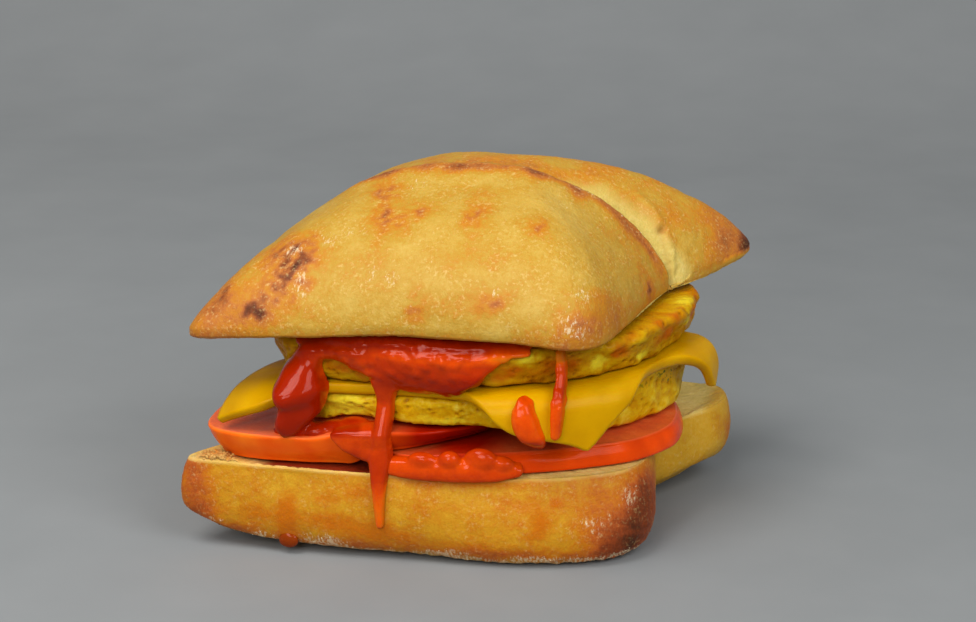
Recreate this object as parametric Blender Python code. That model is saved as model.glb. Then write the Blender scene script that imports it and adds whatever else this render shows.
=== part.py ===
"""Breakfast sandwich: a split roll with tomato, egg, cheese and ketchup.

The roll is a slanted oblong with two pointed corners, front left and back
right. Its heel carries two overlapping tomato slices, a thick egg patty, one
square slice of cheese whose corners droop, a second egg patty and a pour of
ketchup that runs down the front. The crown has a raised ear along its middle
and a pale tear behind the ear that opens towards the right end.

Sizes are millimetres here, and skin() turns them into metres. x runs along the
roll, the front faces -y, and z is the height above the table.
"""

import math

import bmesh
import bpy
import numpy as np
from mathutils import Vector
from mathutils.bvhtree import BVHTree

MM = 0.001
GAP = 0.3
# Steps between neighbouring points of a smooth outline
CURVE_STEPS = 24
# Middle of the sandwich's footprint, which becomes the origin
FOOTPRINT_MIDDLE = Vector((0.55, -0.47, 0.0))

# Roll
CUT_Z = 21.0
CROWN_TOP = 82.4
CROWN_MIDDLE = (3.0, 12.0)
# The stack leans: how much higher it is for each millimetre to the right and back
LEAN_RIGHT = 0.04
LEAN_BACK = 0.02
CROWN_UNDER = 53.1
TUCK_HEIGHT = 2.4
TUCK_INSET = 1.4

# Crown outline seen from above, from the left end of the seam round the front
# to its right end: x, y, height of the cut edge, fullness of the side (a low
# number gives an upright side, a high one a long slope)
CROWN_FRONT = (
    (-51.5, 0.0, 49.6, 0.66),
    (-54.6, -18.0, 49.0, 0.73),
    (-57.0, -31.0, 48.6, 0.81),
    (-54.4, -37.4, 49.4, 0.81),
    (-44.0, -38.4, 50.4, 0.68),
    (-28.0, -38.6, 51.6, 0.57),
    (-8.0, -38.4, 53.0, 0.50),
    (14.0, -38.6, 53.2, 0.50),
    (28.5, -37.8, 52.2, 0.52),
    (35.4, -32.0, 51.8, 0.56),
    (38.6, -20.0, 52.4, 0.62),
    (41.6, -5.0, 53.2, 0.68),
    (44.6, 7.6, 53.8, 0.72),
)
# The same round the back, from the right end of the seam to its left end
CROWN_BACK = (
    (48.6, 13.4, 54.0, 0.72),
    (54.6, 23.0, 54.8, 0.76),
    (60.2, 34.6, 55.8, 0.80),
    (57.6, 40.0, 55.8, 0.78),
    (47.0, 40.6, 54.8, 0.66),
    (25.0, 40.6, 53.6, 0.54),
    (0.0, 40.6, 52.8, 0.50),
    (-22.0, 40.2, 52.0, 0.50),
    (-37.0, 36.6, 51.2, 0.55),
    (-46.0, 22.0, 50.4, 0.60),
)
SEAM = (
    (-51.5, 0.0),
    (-30.0, -2.0),
    (0.0, 0.0),
    (18.0, 1.0),
    (30.0, 4.0),
    (39.0, 6.4),
    (44.6, 7.6),
)
# Where the rows of the crust lie between the seam (0) and the cut edge (1)
FRONT_SHARES = np.sin(np.linspace(0.5, 0.04, 9) * math.pi)
BACK_SHARES = (1.0, 0.985, 0.94, 0.86, 0.75, 0.62, 0.49, 0.37, 0.26, 0.16, 0.08)
EAR_RISE = 1.8
EAR_REACH = 6.0
EAR_LIP = 1.2
TEAR_DEPTH = 4.6
TEAR_WIDTH = 12.0

# Heel outline at the cut, anticlockwise from the front left corner: x, y,
# bulge of the side, inset of the foot, height at which the underside starts
HEEL = (
    (-57.6, -35.8, 2.2, 0.6, 8.4),
    (-46.0, -37.4, 1.6, 4.0, 3.4),
    (-30.0, -37.8, 1.4, 5.0, 1.9),
    (-5.0, -36.8, 1.8, 4.5, 1.0),
    (18.0, -33.8, 3.0, 1.5, 0.8),
    (33.6, -27.6, 4.6, -0.5, 0.8),
    (42.0, -19.6, 3.6, 0.5, 1.4),
    (43.6, -8.0, 1.6, 3.0, 3.0),
    (42.0, 5.0, 1.2, 4.0, 4.4),
    (47.0, 12.5, 2.4, 5.5, 5.6),
    (54.4, 22.0, 2.2, 7.0, 7.0),
    (56.0, 33.0, 1.8, 6.0, 5.0),
    (48.6, 39.2, 1.6, 4.5, 2.6),
    (25.0, 39.8, 1.4, 4.5, 2.2),
    (0.0, 39.6, 1.4, 4.5, 2.0),
    (-22.0, 38.8, 1.4, 4.5, 2.2),
    (-35.0, 34.6, 1.4, 4.5, 2.6),
    (-43.0, 18.0, 1.2, 4.5, 3.2),
    (-47.0, -4.0, 1.2, 4.0, 4.6),
    (-51.4, -23.0, 1.4, 3.0, 7.0),
)
HEEL_FLAT = 0.70

# Tomato slices
RIGHT_SLICE = (
    (-18.0, -6.0),
    (-15.0, -28.0),
    (-4.0, -35.6),
    (13.6, -32.2),
    (28.8, -25.4),
    (40.6, -17.8),
    (46.8, -8.4),
    (48.2, 0.0),
    (46.8, 10.0),
    (42.0, 20.0),
    (31.0, 28.0),
    (14.0, 31.6),
    (-4.0, 27.0),
    (-14.0, 14.0),
)
RIGHT_SLICE_THICK = 4.8
RIGHT_SLICE_THIN = 3.2
RIGHT_SLICE_SLANT = -1.4
LEFT_SLICE = (
    (-54.8, -20.0),
    (-53.4, -33.4),
    (-43.6, -37.8),
    (-25.0, -37.4),
    (-5.0, -34.4),
    (9.0, -24.0),
    (15.0, -6.0),
    (9.0, 15.0),
    (-8.0, 29.0),
    (-28.0, 31.0),
    (-43.0, 22.0),
    (-51.6, 2.0),
)
LEFT_SLICE_THICK = 7.0
LEFT_SLICE_THIN = 4.0
LEFT_SLICE_SLANT = 3.2
# How far beyond the right slice's rim the left slice is up on it, and is down
# again: its lower face and its upper face
LEFT_SLICE_CLIMB = (1.0, 8.0)
LEFT_SLICE_SLOPE = (2.0, 18.0)
SLICE_EDGE = 0.7

# Where the rings of a disc's flat faces lie between its middle and its rim
FACE_SHARES = (0.3, 0.55, 0.75, 0.9)

# Egg patties
LOWER_EGG = (
    (-38.0, -12.0),
    (-34.0, -27.5),
    (-23.0, -32.4),
    (-8.0, -33.2),
    (8.0, -32.8),
    (22.0, -28.6),
    (34.0, -17.0),
    (42.6, -8.0),
    (48.0, 3.0),
    (48.6, 13.0),
    (45.0, 24.0),
    (34.0, 31.0),
    (8.0, 33.0),
    (-20.0, 31.0),
    (-36.0, 14.0),
)
UPPER_EGG = (
    (-44.0, -10.0),
    (-39.6, -25.0),
    (-29.0, -32.0),
    (-12.0, -34.8),
    (6.0, -35.4),
    (20.0, -33.8),
    (33.0, -27.4),
    (42.0, -18.6),
    (48.4, -6.0),
    (51.4, 8.0),
    (49.0, 20.0),
    (39.0, 29.6),
    (15.0, 33.6),
    (-12.0, 33.6),
    (-33.0, 27.0),
    (-43.0, 9.0),
)
EGG_MIDDLE = (4.0, 0.0)
LOWER_EGG_CLEAR = 0.9
CHEESE_UNDER = 39.0
CHEESE_THICK = 2.4
UPPER_EGG_TOP = 50.2
EGG_SOFTNESS = 1.8
LOWER_EGG_SLANT = 1.0
UPPER_EGG_SLANT = 2.0
CRUMB_SIZE = 0.45

# Cheese slice: where its corners would lie if it were flat, and how steeply
# each droops
CHEESE_CORNERS = {
    "left": ((-52.4, -37.4), 60.0, 20.0),
    "front": ((38.6, -39.4), 82.0, 3.2),
    "right": ((62.0, 3.6), 88.0, 4.6),
    "back": ((-8.0, 36.0), 10.0, 4.0),
}
# How far the front edge lies back on its left and forward on its right, and
# the shares of the edge over which each starts and ends
CHEESE_FRONT_BACK = 5.5
CHEESE_BACK_START = (0.12, 0.32)
CHEESE_BACK_END = (0.80, 0.62)
CHEESE_FRONT_FORWARD = 2.2
CHEESE_FORWARD_START = (0.5, 0.7)
CHEESE_FORWARD_END = (0.98, 0.8)
# How far and which way the right edge lies in, and how the corners are rounded
CHEESE_RIGHT_IN = 8.0
CHEESE_RIGHT_WAY = (-0.6, 0.8)
CHEESE_CORNER_ROUND = 0.03
CHEESE_CORNER_POWER = 8
CHEESE_ACROSS = 18

# Ketchup: the layer under the crown, seen from above
SAUCE_LAYER = (
    (-36.0, -8.0),
    (-34.0, -23.0),
    (-27.0, -32.6),
    (-12.0, -36.2),
    (6.0, -36.6),
    (15.0, -34.6),
    (25.0, -28.0),
    (34.0, -14.0),
    (38.0, 4.0),
    (30.0, 20.0),
    (8.0, 26.0),
    (-16.0, 25.0),
    (-32.0, 12.0),
)
SAUCE_THICK = 1.2
SAUCE_MIDDLE = (0.0, -4.0)
# How far each run stands off the food, beyond the gap between solids
SHEET_LIFT = 0.35
BLOB_LIFT = 0.5
DRIP_LIFT = 0.25
# Runs of ketchup down the front, seen from the front: x, z, half width, thickness
SAUCE_SHEET = (
    (-31.0, 47.4, 1.8, 0.7),
    (-29.0, 47.8, 3.2, 1.3),
    (-23.1, 48.4, 3.0, 1.5),
    (-15.2, 46.9, 5.2, 1.6),
    (-7.4, 45.6, 6.9, 1.6),
    (1.5, 46.1, 6.7, 1.6),
    (6.4, 47.0, 5.5, 1.5),
    (10.3, 48.8, 3.7, 1.3),
    (15.7, 50.2, 1.7, 0.9),
    (20.0, 50.4, 0.9, 0.6),
)
SAUCE_BLOB = (
    (-27.2, 49.8, 1.8, 0.8),
    (-28.6, 48.0, 3.3, 1.8),
    (-30.2, 45.6, 4.0, 2.3),
    (-31.0, 42.0, 4.8, 2.8),
    (-31.2, 38.4, 6.0, 3.4),
    (-31.6, 35.0, 5.4, 3.2),
    (-33.0, 31.8, 4.2, 2.4),
    (-34.4, 29.4, 2.8, 1.6),
    (-35.0, 28.2, 1.3, 0.8),
)
SAUCE_DRIP = (
    (-11.8, 49.8, 2.0, 0.8),
    (-12.0, 47.0, 4.0, 1.6),
    (-12.1, 43.0, 3.4, 1.7),
    (-12.1, 39.4, 2.8, 1.6),
    (-12.2, 35.5, 2.2, 1.5),
    (-12.3, 31.6, 1.9, 1.5),
    (-12.6, 27.0, 2.1, 1.5),
    (-12.7, 23.6, 2.6, 1.6),
    (-12.7, 20.2, 2.1, 1.4),
    (-12.6, 15.4, 1.5, 1.2),
    (-12.5, 11.2, 1.1, 1.0),
    (-12.4, 9.4, 0.6, 0.6),
)
CHEESE_DROP = (
    (19.0, 41.0, 0.8, 0.5),
    (19.6, 39.4, 2.2, 1.2),
    (20.0, 36.6, 2.9, 1.7),
    (21.2, 33.6, 2.9, 1.8),
    (22.8, 31.2, 2.2, 1.5),
    (23.6, 29.8, 1.0, 0.7),
)
THIN_DRIP = (
    (26.4, 50.4, 0.5, 0.4),
    (26.7, 47.5, 0.8, 0.6),
    (27.0, 44.0, 0.9, 0.7),
    (26.9, 40.0, 1.3, 0.9),
    (26.8, 35.4, 1.2, 1.0),
    (26.7, 32.6, 0.6, 0.5),
)
# Bubbles of ketchup on the right slice's rim: x, half width, top
BUBBLES = (
    (-3.7, 2.9, 26.0),
    (2.7, 2.5, 27.2),
    (9.4, 3.5, 28.4),
    (14.0, 2.0, 26.4),
)
BUBBLE_LINE = (-9.6, 17.0)
BUBBLE_FOOT = 22.2
BUBBLE_LEVEL = 24.0
# Where the search for the front of the food stops, and how many millimetres
# it is widened by across and upwards
FRONT_STOP = -26.0
FRONT_SPREAD = (2, 3)

# How many sections the crown has, and points each ring has
CROWN_SECTIONS = 38
HEEL_POINTS = 60
SLICE_POINTS = 40
EGG_POINTS = 44
SAUCE_POINTS = 36


def smooth(low, high, value):
    """Rise from 0 at low to 1 at high with a level start and finish."""
    part = np.clip((np.asarray(value, float) - low) / (high - low), 0.0, 1.0)
    return part * part * (3.0 - 2.0 * part)


def curve_through(points, closed):
    """A dense smooth curve through points of any dimension."""
    points = np.asarray(points, float)
    count = len(points)
    spans = count if closed else count - 1
    found = []
    for span in range(spans):
        corner = []
        for shift in (-1, 0, 1, 2):
            index = span + shift
            if closed:
                index %= count
            corner.append(points[min(max(index, 0), count - 1)])
        before, start, end, after = corner
        for step in range(CURVE_STEPS):
            t = step / CURVE_STEPS
            found.append(
                0.5
                * (
                    2.0 * start
                    + (end - before) * t
                    + (2.0 * before - 5.0 * start + 4.0 * end - after) * t * t
                    + (3.0 * start - before - 3.0 * end + after) * t ** 3
                )
            )
    found.append(points[0] if closed else points[-1])
    return np.array(found)


def spread(curve, count, ease=0.0):
    """Points at even distances along a dense curve, both ends included.

    ease draws them together at both ends: 0 is even, 1 is a full cosine.
    """
    run = np.linalg.norm(np.diff(curve[:, :2], axis=0), axis=1)
    along = np.concatenate(([0.0], np.cumsum(run)))
    share = np.linspace(0.0, 1.0, count)
    share = (1.0 - ease) * share + ease * (0.5 - 0.5 * np.cos(math.pi * share))
    wanted = share * along[-1]
    columns = [np.interp(wanted, along, curve[:, k]) for k in range(curve.shape[1])]
    return np.stack(columns, axis=1)


def ring_through(points, count):
    """A closed ring of count even points through the given ones."""
    return spread(curve_through(points, closed=True), count + 1)[:-1]


def waves(x, y, z, size, seed):
    """Smooth unevenness between about -1 and 1, with bumps of the given size."""
    chance = np.random.default_rng(seed)
    total = np.zeros(np.broadcast(x, y, z).shape)
    terms = 9
    for _ in range(terms):
        way = chance.normal(size=3)
        way *= 2.0 * math.pi / size / np.linalg.norm(way) * chance.uniform(0.6, 1.4)
        start = chance.uniform(0.0, 2.0 * math.pi)
        total += np.sin(x * way[0] + y * way[1] + z * way[2] + start)
    return total / math.sqrt(terms * 2.0)


def finish(name, colour, roughness):
    """A plain material in the colour of the food."""
    material = bpy.data.materials.new(name)
    material.use_nodes = True
    shader = material.node_tree.nodes["Principled BSDF"]
    shader.inputs["Base Color"].default_value = (*colour, 1.0)
    shader.inputs["Roughness"].default_value = roughness
    shader.inputs["Metallic"].default_value = 0.0
    material.diffuse_color = (*colour, 1.0)
    return material


def metres(point):
    """A point in millimetres as metres from the middle of the footprint."""
    return (Vector(point) - FOOTPRINT_MIDDLE) * MM


def place(name, mesh, material):
    """Put a finished bmesh into the scene as one smooth shaded object."""
    bmesh.ops.recalc_face_normals(mesh, faces=mesh.faces)
    data = bpy.data.meshes.new(name)
    mesh.to_mesh(data)
    mesh.free()
    data.shade_smooth()
    data.materials.append(material)
    item = bpy.data.objects.new(name, data)
    bpy.context.scene.collection.objects.link(item)
    return item


def skin(name, loops, start, end, material):
    """A closed solid: quads between neighbouring loops and a fan at each end."""
    mesh = bmesh.new()
    rings = []
    for loop in loops:
        rings.append([mesh.verts.new(metres(point)) for point in loop])
    count = len(rings[0])
    for ring, following in zip(rings, rings[1:]):
        for k in range(count):
            n = (k + 1) % count
            mesh.faces.new((ring[k], ring[n], following[n], following[k]))
    for ring, point in ((rings[0], start), (rings[-1], end)):
        pole = mesh.verts.new(metres(point))
        for k in range(count):
            mesh.faces.new((ring[k], ring[(k + 1) % count], pole))
    return place(name, mesh, material)


class Outline:
    """A closed outline seen from its middle, with values that vary round it."""

    def __init__(self, points, middle):
        self.middle = np.array(middle, float)
        dense = curve_through(points, closed=True)[:-1]
        offset = dense[:, :2] - self.middle
        angle = np.arctan2(offset[:, 1], offset[:, 0])
        order = np.argsort(angle)
        self.angle = angle[order]
        self.radius = np.linalg.norm(offset, axis=1)[order]
        self.values = dense[order, 2:]

    def look(self, x, y):
        """How far out a place lies (1 on the outline), and the values there."""
        dx = np.asarray(x, float) - self.middle[0]
        dy = np.asarray(y, float) - self.middle[1]
        angle = np.arctan2(dy, dx)
        turn = 2.0 * math.pi
        radius = np.interp(angle, self.angle, self.radius, period=turn)
        values = []
        for k in range(self.values.shape[1]):
            values.append(np.interp(angle, self.angle, self.values[:, k], period=turn))
        return np.hypot(dx, dy) / radius, radius, values


CROWN_OUTLINE = Outline(CROWN_FRONT + CROWN_BACK, CROWN_MIDDLE)
SEAM_LINE = curve_through(SEAM, closed=False)
LEFT_OUTLINE = Outline(LEFT_SLICE, (-19.0, -3.0))
RIGHT_OUTLINE = Outline(RIGHT_SLICE, (15.0, -3.0))
SHELF_OUTLINE = Outline(UPPER_EGG, EGG_MIDDLE)


def dome(x, y):
    """Height of the crown's crust before the ear and the tear."""
    out, _, (rim, fullness) = CROWN_OUTLINE.look(x, y)
    edge = rim + TUCK_HEIGHT
    inside = np.clip(1.0 - out * out, 0.0, 1.0)
    return edge + (CROWN_TOP - edge) * inside ** fullness


def lean(x, y):
    """How much higher the stack is at a place than at its middle."""
    return LEAN_RIGHT * np.asarray(x, float) + LEAN_BACK * np.asarray(y, float)


def crown_under(x, y):
    """Height of the crown's cut face."""
    out, _, (rim, _) = CROWN_OUTLINE.look(x, y)
    level = CROWN_UNDER + lean(x, y)
    return rim + (level - rim) * np.clip(1.0 - out * out, 0.0, 1.0)


def ear_rise(x, away):
    """How far the ear lifts the front crust, by distance in front of the seam."""
    along = smooth(-40.0, -20.0, x) * (1.0 - 0.8 * smooth(30.0, 46.5, x))
    return EAR_RISE * along * np.exp(-((away / EAR_REACH) ** 2))


def tear_drop(x, away):
    """How far the crust drops behind the seam, by distance behind it."""
    depth = 0.7 + TEAR_DEPTH * smooth(6.0, 28.0, x) * (1.0 - 0.3 * smooth(38.0, 46.5, x))
    width = 3.0 + TEAR_WIDTH * smooth(4.0, 26.0, x) - 0.6 * TEAR_WIDTH * smooth(36.0, 46.5, x)
    inside = smooth(-50.0, -40.0, x)
    return depth * inside * (1.0 - smooth(0.1, 1.0, away / width))


def roll_side(edge, seam, shares):
    """Rows from a cut edge over the tuck and up the crust to the seam."""
    rows = []
    for turn in (0.0, 0.5):
        inset = TUCK_INSET * (1.0 - math.sin(turn * math.pi))
        out = edge[:, :2] - seam
        length = np.maximum(np.linalg.norm(out, axis=1, keepdims=True), 1.0)
        plan = edge[:, :2] - out / length * np.minimum(inset, length * 0.2)
        level = edge[:, 2] + TUCK_HEIGHT * turn * 0.8
        rows.append(np.column_stack((plan, level)))
    for share in shares:
        plan = seam + (edge[:, :2] - seam) * share
        rows.append(np.column_stack((plan, dome(plan[:, 0], plan[:, 1]))))
    return rows


def build_crown(material):
    """The top half of the roll, as sections from the left end to the right."""
    outline = curve_through(CROWN_FRONT + CROWN_BACK, closed=True)
    split = CURVE_STEPS * (len(CROWN_FRONT) - 1)
    front = spread(outline[: split + 1], CROWN_SECTIONS)
    back = spread(outline[split:][::-1], CROWN_SECTIONS)
    seam = spread(SEAM_LINE, CROWN_SECTIONS, ease=0.7)
    rows = roll_side(front, seam, FRONT_SHARES)
    for row in rows[2:]:
        out, _, _ = CROWN_OUTLINE.look(row[:, 0], row[:, 1])
        rise = ear_rise(row[:, 0], seam[:, 1] - row[:, 1])
        row[:, 2] += rise * smooth(0.0, 0.3, 1.0 - out)
    crest = np.column_stack((seam, dome(*seam.T)))
    crest[:, 2] += ear_rise(crest[:, 0], 0.0)
    lip = crest.copy()
    lip[:, 1] += EAR_LIP * smooth(-40.0, -20.0, lip[:, 0]) + 0.2
    lip[:, 2] -= 0.5
    floor = np.column_stack((seam, dome(*seam.T)))
    floor[:, 1] += 0.9
    floor[:, 2] -= tear_drop(floor[:, 0], 0.0)
    rows += [crest, lip, floor]
    behind = roll_side(back, seam, BACK_SHARES)
    for row in behind[2:]:
        away = row[:, 1] - seam[:, 1]
        row[:, 2] -= tear_drop(row[:, 0], away)
        row[:, 2] = np.maximum(row[:, 2], np.interp(row[:, 0], back[:, 0], back[:, 2]))
    rows += behind[::-1]
    for share in (0.55, 0.0, -0.55):
        edge = back if share >= 0.0 else front
        plan = seam + (edge[:, :2] - seam) * abs(share)
        rows.append(np.column_stack((plan, crown_under(plan[:, 0], plan[:, 1]))))
    stack = np.stack(rows, axis=1)
    left = stack[0].mean(axis=0)
    right = stack[-1].mean(axis=0)
    return skin("crown", stack[1:-1], left, right, material)


def build_heel(material):
    """The bottom half of the roll, as rings from its cut face to its foot."""
    ring = ring_through(HEEL, HEEL_POINTS)
    plan, bulge, inset, foot = ring[:, :2], ring[:, 2], ring[:, 3], ring[:, 4]
    length = np.linalg.norm(plan, axis=1)
    out = plan / length[:, None]
    loops = []
    for share in (0.4, 0.7, 0.88, 0.96):
        face = plan * share
        crumb = 0.4 * waves(face[:, 0], face[:, 1], 0.0, 7.0, 5) - 0.4
        loops.append(np.column_stack((face, CUT_Z + crumb * (share > 0.8))))
    for t in (0.0, 0.12, 0.3, 0.5, 0.7, 0.86, 1.0):
        reach = bulge * math.sin(math.pi * t) - inset * t ** 3
        level = CUT_Z - (CUT_Z - foot) * math.sin(t * math.pi / 2.0) ** 1.15
        side = plan + out * reach[:, None]
        uneven = 0.35 * waves(side[:, 0], side[:, 1], level, 16.0, 11) * math.sin(math.pi * t)
        loops.append(np.column_stack((side + out * uneven[:, None], level)))
    last = loops[-1]
    for share, left in ((0.9, 0.42), (0.8, 0.1), (HEEL_FLAT, 0.0)):
        loops.append(np.column_stack((last[:, :2] * share, foot * left)))
    return skin("heel", loops, (0.0, 0.0, CUT_Z), (0.0, 0.0, 0.0), material)


def slab(name, plan, middle, under, over, slant, soft, material, rough=0.0):
    """A disc of food between two height functions, with a rounded rim.

    plan is the ring at its widest, slant the inset of its lower edge, and soft
    the radius of its rounded edges.
    """
    middle = np.array(middle, float)
    offset = plan - middle
    length = np.linalg.norm(offset, axis=1, keepdims=True)
    out = offset / length
    loops = []
    for share in FACE_SHARES:
        face = middle + (plan - out * (soft + slant) - middle) * share
        loops.append(np.column_stack((face, under(face[:, 0], face[:, 1]))))
    turns = 2
    for step in range(turns + 1):
        bend = step / turns * math.pi / 2.0
        side = plan - out * (soft * (1.0 - math.sin(bend)) + slant)
        level = under(side[:, 0], side[:, 1]) + soft * (1.0 - math.cos(bend))
        loops.append(np.column_stack((side, level)))
    for step in range(turns + 1):
        bend = (1.0 - step / turns) * math.pi / 2.0
        side = plan - out * soft * (1.0 - math.sin(bend))
        level = over(side[:, 0], side[:, 1]) - soft * (1.0 - math.cos(bend))
        loops.append(np.column_stack((side, level)))
    for share in FACE_SHARES[::-1]:
        face = middle + (plan - out * soft - middle) * share
        loops.append(np.column_stack((face, over(face[:, 0], face[:, 1]))))
    if rough:
        for loop in loops[len(FACE_SHARES) + 1 : -len(FACE_SHARES) - 1]:
            bump = rough * (waves(*loop.T, 8.0, 21) + 0.5 * waves(*loop.T, 4.5, 22) - 0.8)
            loop[:, :2] += out * bump[:, None]
    low = (*middle, float(under(*middle)))
    high = (*middle, float(over(*middle)))
    return skin(name, loops, low, high, material)


def right_slice_under(x, y):
    """The right slice lies flat on the heel."""
    return np.full(np.broadcast(x, y).shape, CUT_Z + GAP)


def right_slice_over(x, y):
    """Height of the right slice's upper face: its left side is cut thinner."""
    thin = smooth(5.0, -14.0, x)
    return right_slice_under(x, y) + RIGHT_SLICE_THICK + (RIGHT_SLICE_THIN - RIGHT_SLICE_THICK) * thin


def left_slice_climb(x, y, reach):
    """Height of a face that lies on the heel and climbs onto the right slice."""
    out, radius, _ = RIGHT_OUTLINE.look(x, y)
    climb = 1.0 - smooth(*reach, (out - 1.0) * radius)
    lying = CUT_Z + GAP
    return lying + (right_slice_over(x, y) + GAP - lying) * climb


def left_slice_under(x, y):
    """The left slice spans the step beside the right slice."""
    return left_slice_climb(x, y, LEFT_SLICE_CLIMB)


def left_slice_over(x, y):
    """Height of the left slice's upper face: its right side is cut thinner."""
    thin = smooth(-25.0, 4.0, x)
    thick = LEFT_SLICE_THICK + (LEFT_SLICE_THIN - LEFT_SLICE_THICK) * thin
    return left_slice_climb(x, y, LEFT_SLICE_SLOPE) + thick


def build_slices(material):
    """The two tomato slices."""
    right = ring_through(RIGHT_SLICE, SLICE_POINTS)
    left = ring_through(LEFT_SLICE, SLICE_POINTS)
    return [
        slab("tomato_right", right, RIGHT_OUTLINE.middle, right_slice_under, right_slice_over,
             RIGHT_SLICE_SLANT, SLICE_EDGE, material),
        slab("tomato_left", left, LEFT_OUTLINE.middle, left_slice_under, left_slice_over,
             LEFT_SLICE_SLANT, SLICE_EDGE, material),
    ]


def cheese_under(x, y):
    """Height of the lower face of the cheese where it lies on the egg."""
    return CHEESE_UNDER + lean(x, y)


def cheese_over(x, y):
    """Height of the upper face of the cheese where it lies on the egg."""
    return cheese_under(x, y) + CHEESE_THICK


def lower_egg_under(x, y):
    """The lower patty rests on the left slice and sags onto the right one."""
    out, radius, _ = LEFT_OUTLINE.look(x, y)
    sag = smooth(3.0, 16.0, (out - 1.0) * radius)
    high = left_slice_over(x, y)
    return high + (right_slice_over(x, y) - high) * sag + LOWER_EGG_CLEAR


def build_eggs(material):
    """The two egg patties."""
    lower = ring_through(LOWER_EGG, EGG_POINTS)
    upper = ring_through(UPPER_EGG, EGG_POINTS)
    return [
        slab("egg_lower", lower, EGG_MIDDLE, lower_egg_under, lower_egg_over, LOWER_EGG_SLANT,
             EGG_SOFTNESS, material, CRUMB_SIZE),
        slab("egg_upper", upper, EGG_MIDDLE, upper_egg_under, upper_egg_over, UPPER_EGG_SLANT,
             EGG_SOFTNESS, material, CRUMB_SIZE),
    ]


def lower_egg_over(x, y):
    """Height of the lower patty's top, just under the cheese."""
    return cheese_under(x, y) - GAP


def upper_egg_under(x, y):
    """Height of the upper patty's underside, just on the cheese."""
    return cheese_over(x, y) + GAP


def upper_egg_over(x, y):
    """Height of the upper patty's top, which follows the crown's cut face."""
    return UPPER_EGG_TOP + lean(x, y)


def corner_blend(a, b, column):
    """A value of the four cheese corners, blended across the slice."""
    value = {name: corner[column] for name, corner in CHEESE_CORNERS.items()}
    near = value["left"] + (value["front"] - value["left"]) * smooth(0.25, 0.75, a)
    far = value["back"] + (value["right"] - value["back"]) * smooth(0.25, 0.75, a)
    return near + (far - near) * smooth(0.2, 0.8, b)


def drape(a, b):
    """Lower face of the cheese at shares a and b across the flat slice."""
    corners = {name: np.array(corner[0]) for name, corner in CHEESE_CORNERS.items()}
    near = corners["left"] + (corners["front"] - corners["left"]) * a[..., None]
    far = corners["back"] + (corners["right"] - corners["back"]) * a[..., None]
    flat = near + (far - near) * b[..., None]
    back = CHEESE_FRONT_BACK * smooth(*CHEESE_BACK_START, a) * smooth(*CHEESE_BACK_END, a)
    forward = CHEESE_FRONT_FORWARD * smooth(*CHEESE_FORWARD_START, a)
    forward *= smooth(*CHEESE_FORWARD_END, a)
    flat[..., 1] += (back - forward) * (1.0 - b) ** 2
    inwards = CHEESE_RIGHT_IN * np.sin(math.pi * b) * a ** 2
    flat += inwards[..., None] * np.array(CHEESE_RIGHT_WAY)
    corner = np.abs((2.0 * a - 1.0) * (2.0 * b - 1.0)) ** CHEESE_CORNER_POWER
    centre = sum(corners.values()) / len(corners)
    flat += (centre - flat) * (CHEESE_CORNER_ROUND * corner)[..., None]
    out, radius, _ = SHELF_OUTLINE.look(flat[..., 0], flat[..., 1])
    way = flat - SHELF_OUTLINE.middle
    way /= np.maximum(np.linalg.norm(way, axis=-1, keepdims=True), 1e-6)
    past = np.maximum((out - 1.0) * radius + 1.0, 0.0)
    steep = np.radians(corner_blend(a, b, 1))
    round_off = corner_blend(a, b, 2)
    bend = np.minimum(past / round_off, steep)
    straight = past - bend * round_off
    reach = round_off * np.sin(bend) + straight * np.cos(bend)
    fall = round_off * (1.0 - np.cos(bend)) + straight * np.sin(bend)
    plan = flat - way * (past - reach)[..., None]
    level = cheese_under(plan[..., 0], plan[..., 1]) - fall
    return np.concatenate((plan, level[..., None]), axis=-1)


def build_cheese(material):
    """One square slice, draped over the lower patty and offset by its thickness."""
    across = CHEESE_ACROSS
    share = np.linspace(0.0, 1.0, across + 1)
    a, b = np.meshgrid(share, share, indexing="ij")
    under = drape(a, b)
    step_a = np.gradient(under, axis=0)
    step_b = np.gradient(under, axis=1)
    normal = np.cross(step_a, step_b)
    normal /= np.linalg.norm(normal, axis=-1, keepdims=True)
    over = under + normal * CHEESE_THICK
    mesh = bmesh.new()
    low = [[mesh.verts.new(metres(p)) for p in row] for row in under]
    high = [[mesh.verts.new(metres(p)) for p in row] for row in over]
    for i in range(across):
        for j in range(across):
            mesh.faces.new((low[i][j], low[i][j + 1], low[i + 1][j + 1], low[i + 1][j]))
            mesh.faces.new((high[i][j], high[i + 1][j], high[i + 1][j + 1], high[i][j + 1]))
    for k in range(across):
        mesh.faces.new((low[k][0], low[k + 1][0], high[k + 1][0], high[k][0]))
        mesh.faces.new((low[k][-1], high[k][-1], high[k + 1][-1], low[k + 1][-1]))
        mesh.faces.new((low[0][k], high[0][k], high[0][k + 1], low[0][k + 1]))
        mesh.faces.new((low[-1][k], low[-1][k + 1], high[-1][k + 1], high[-1][k]))
    return place("cheese", mesh, material)


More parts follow.
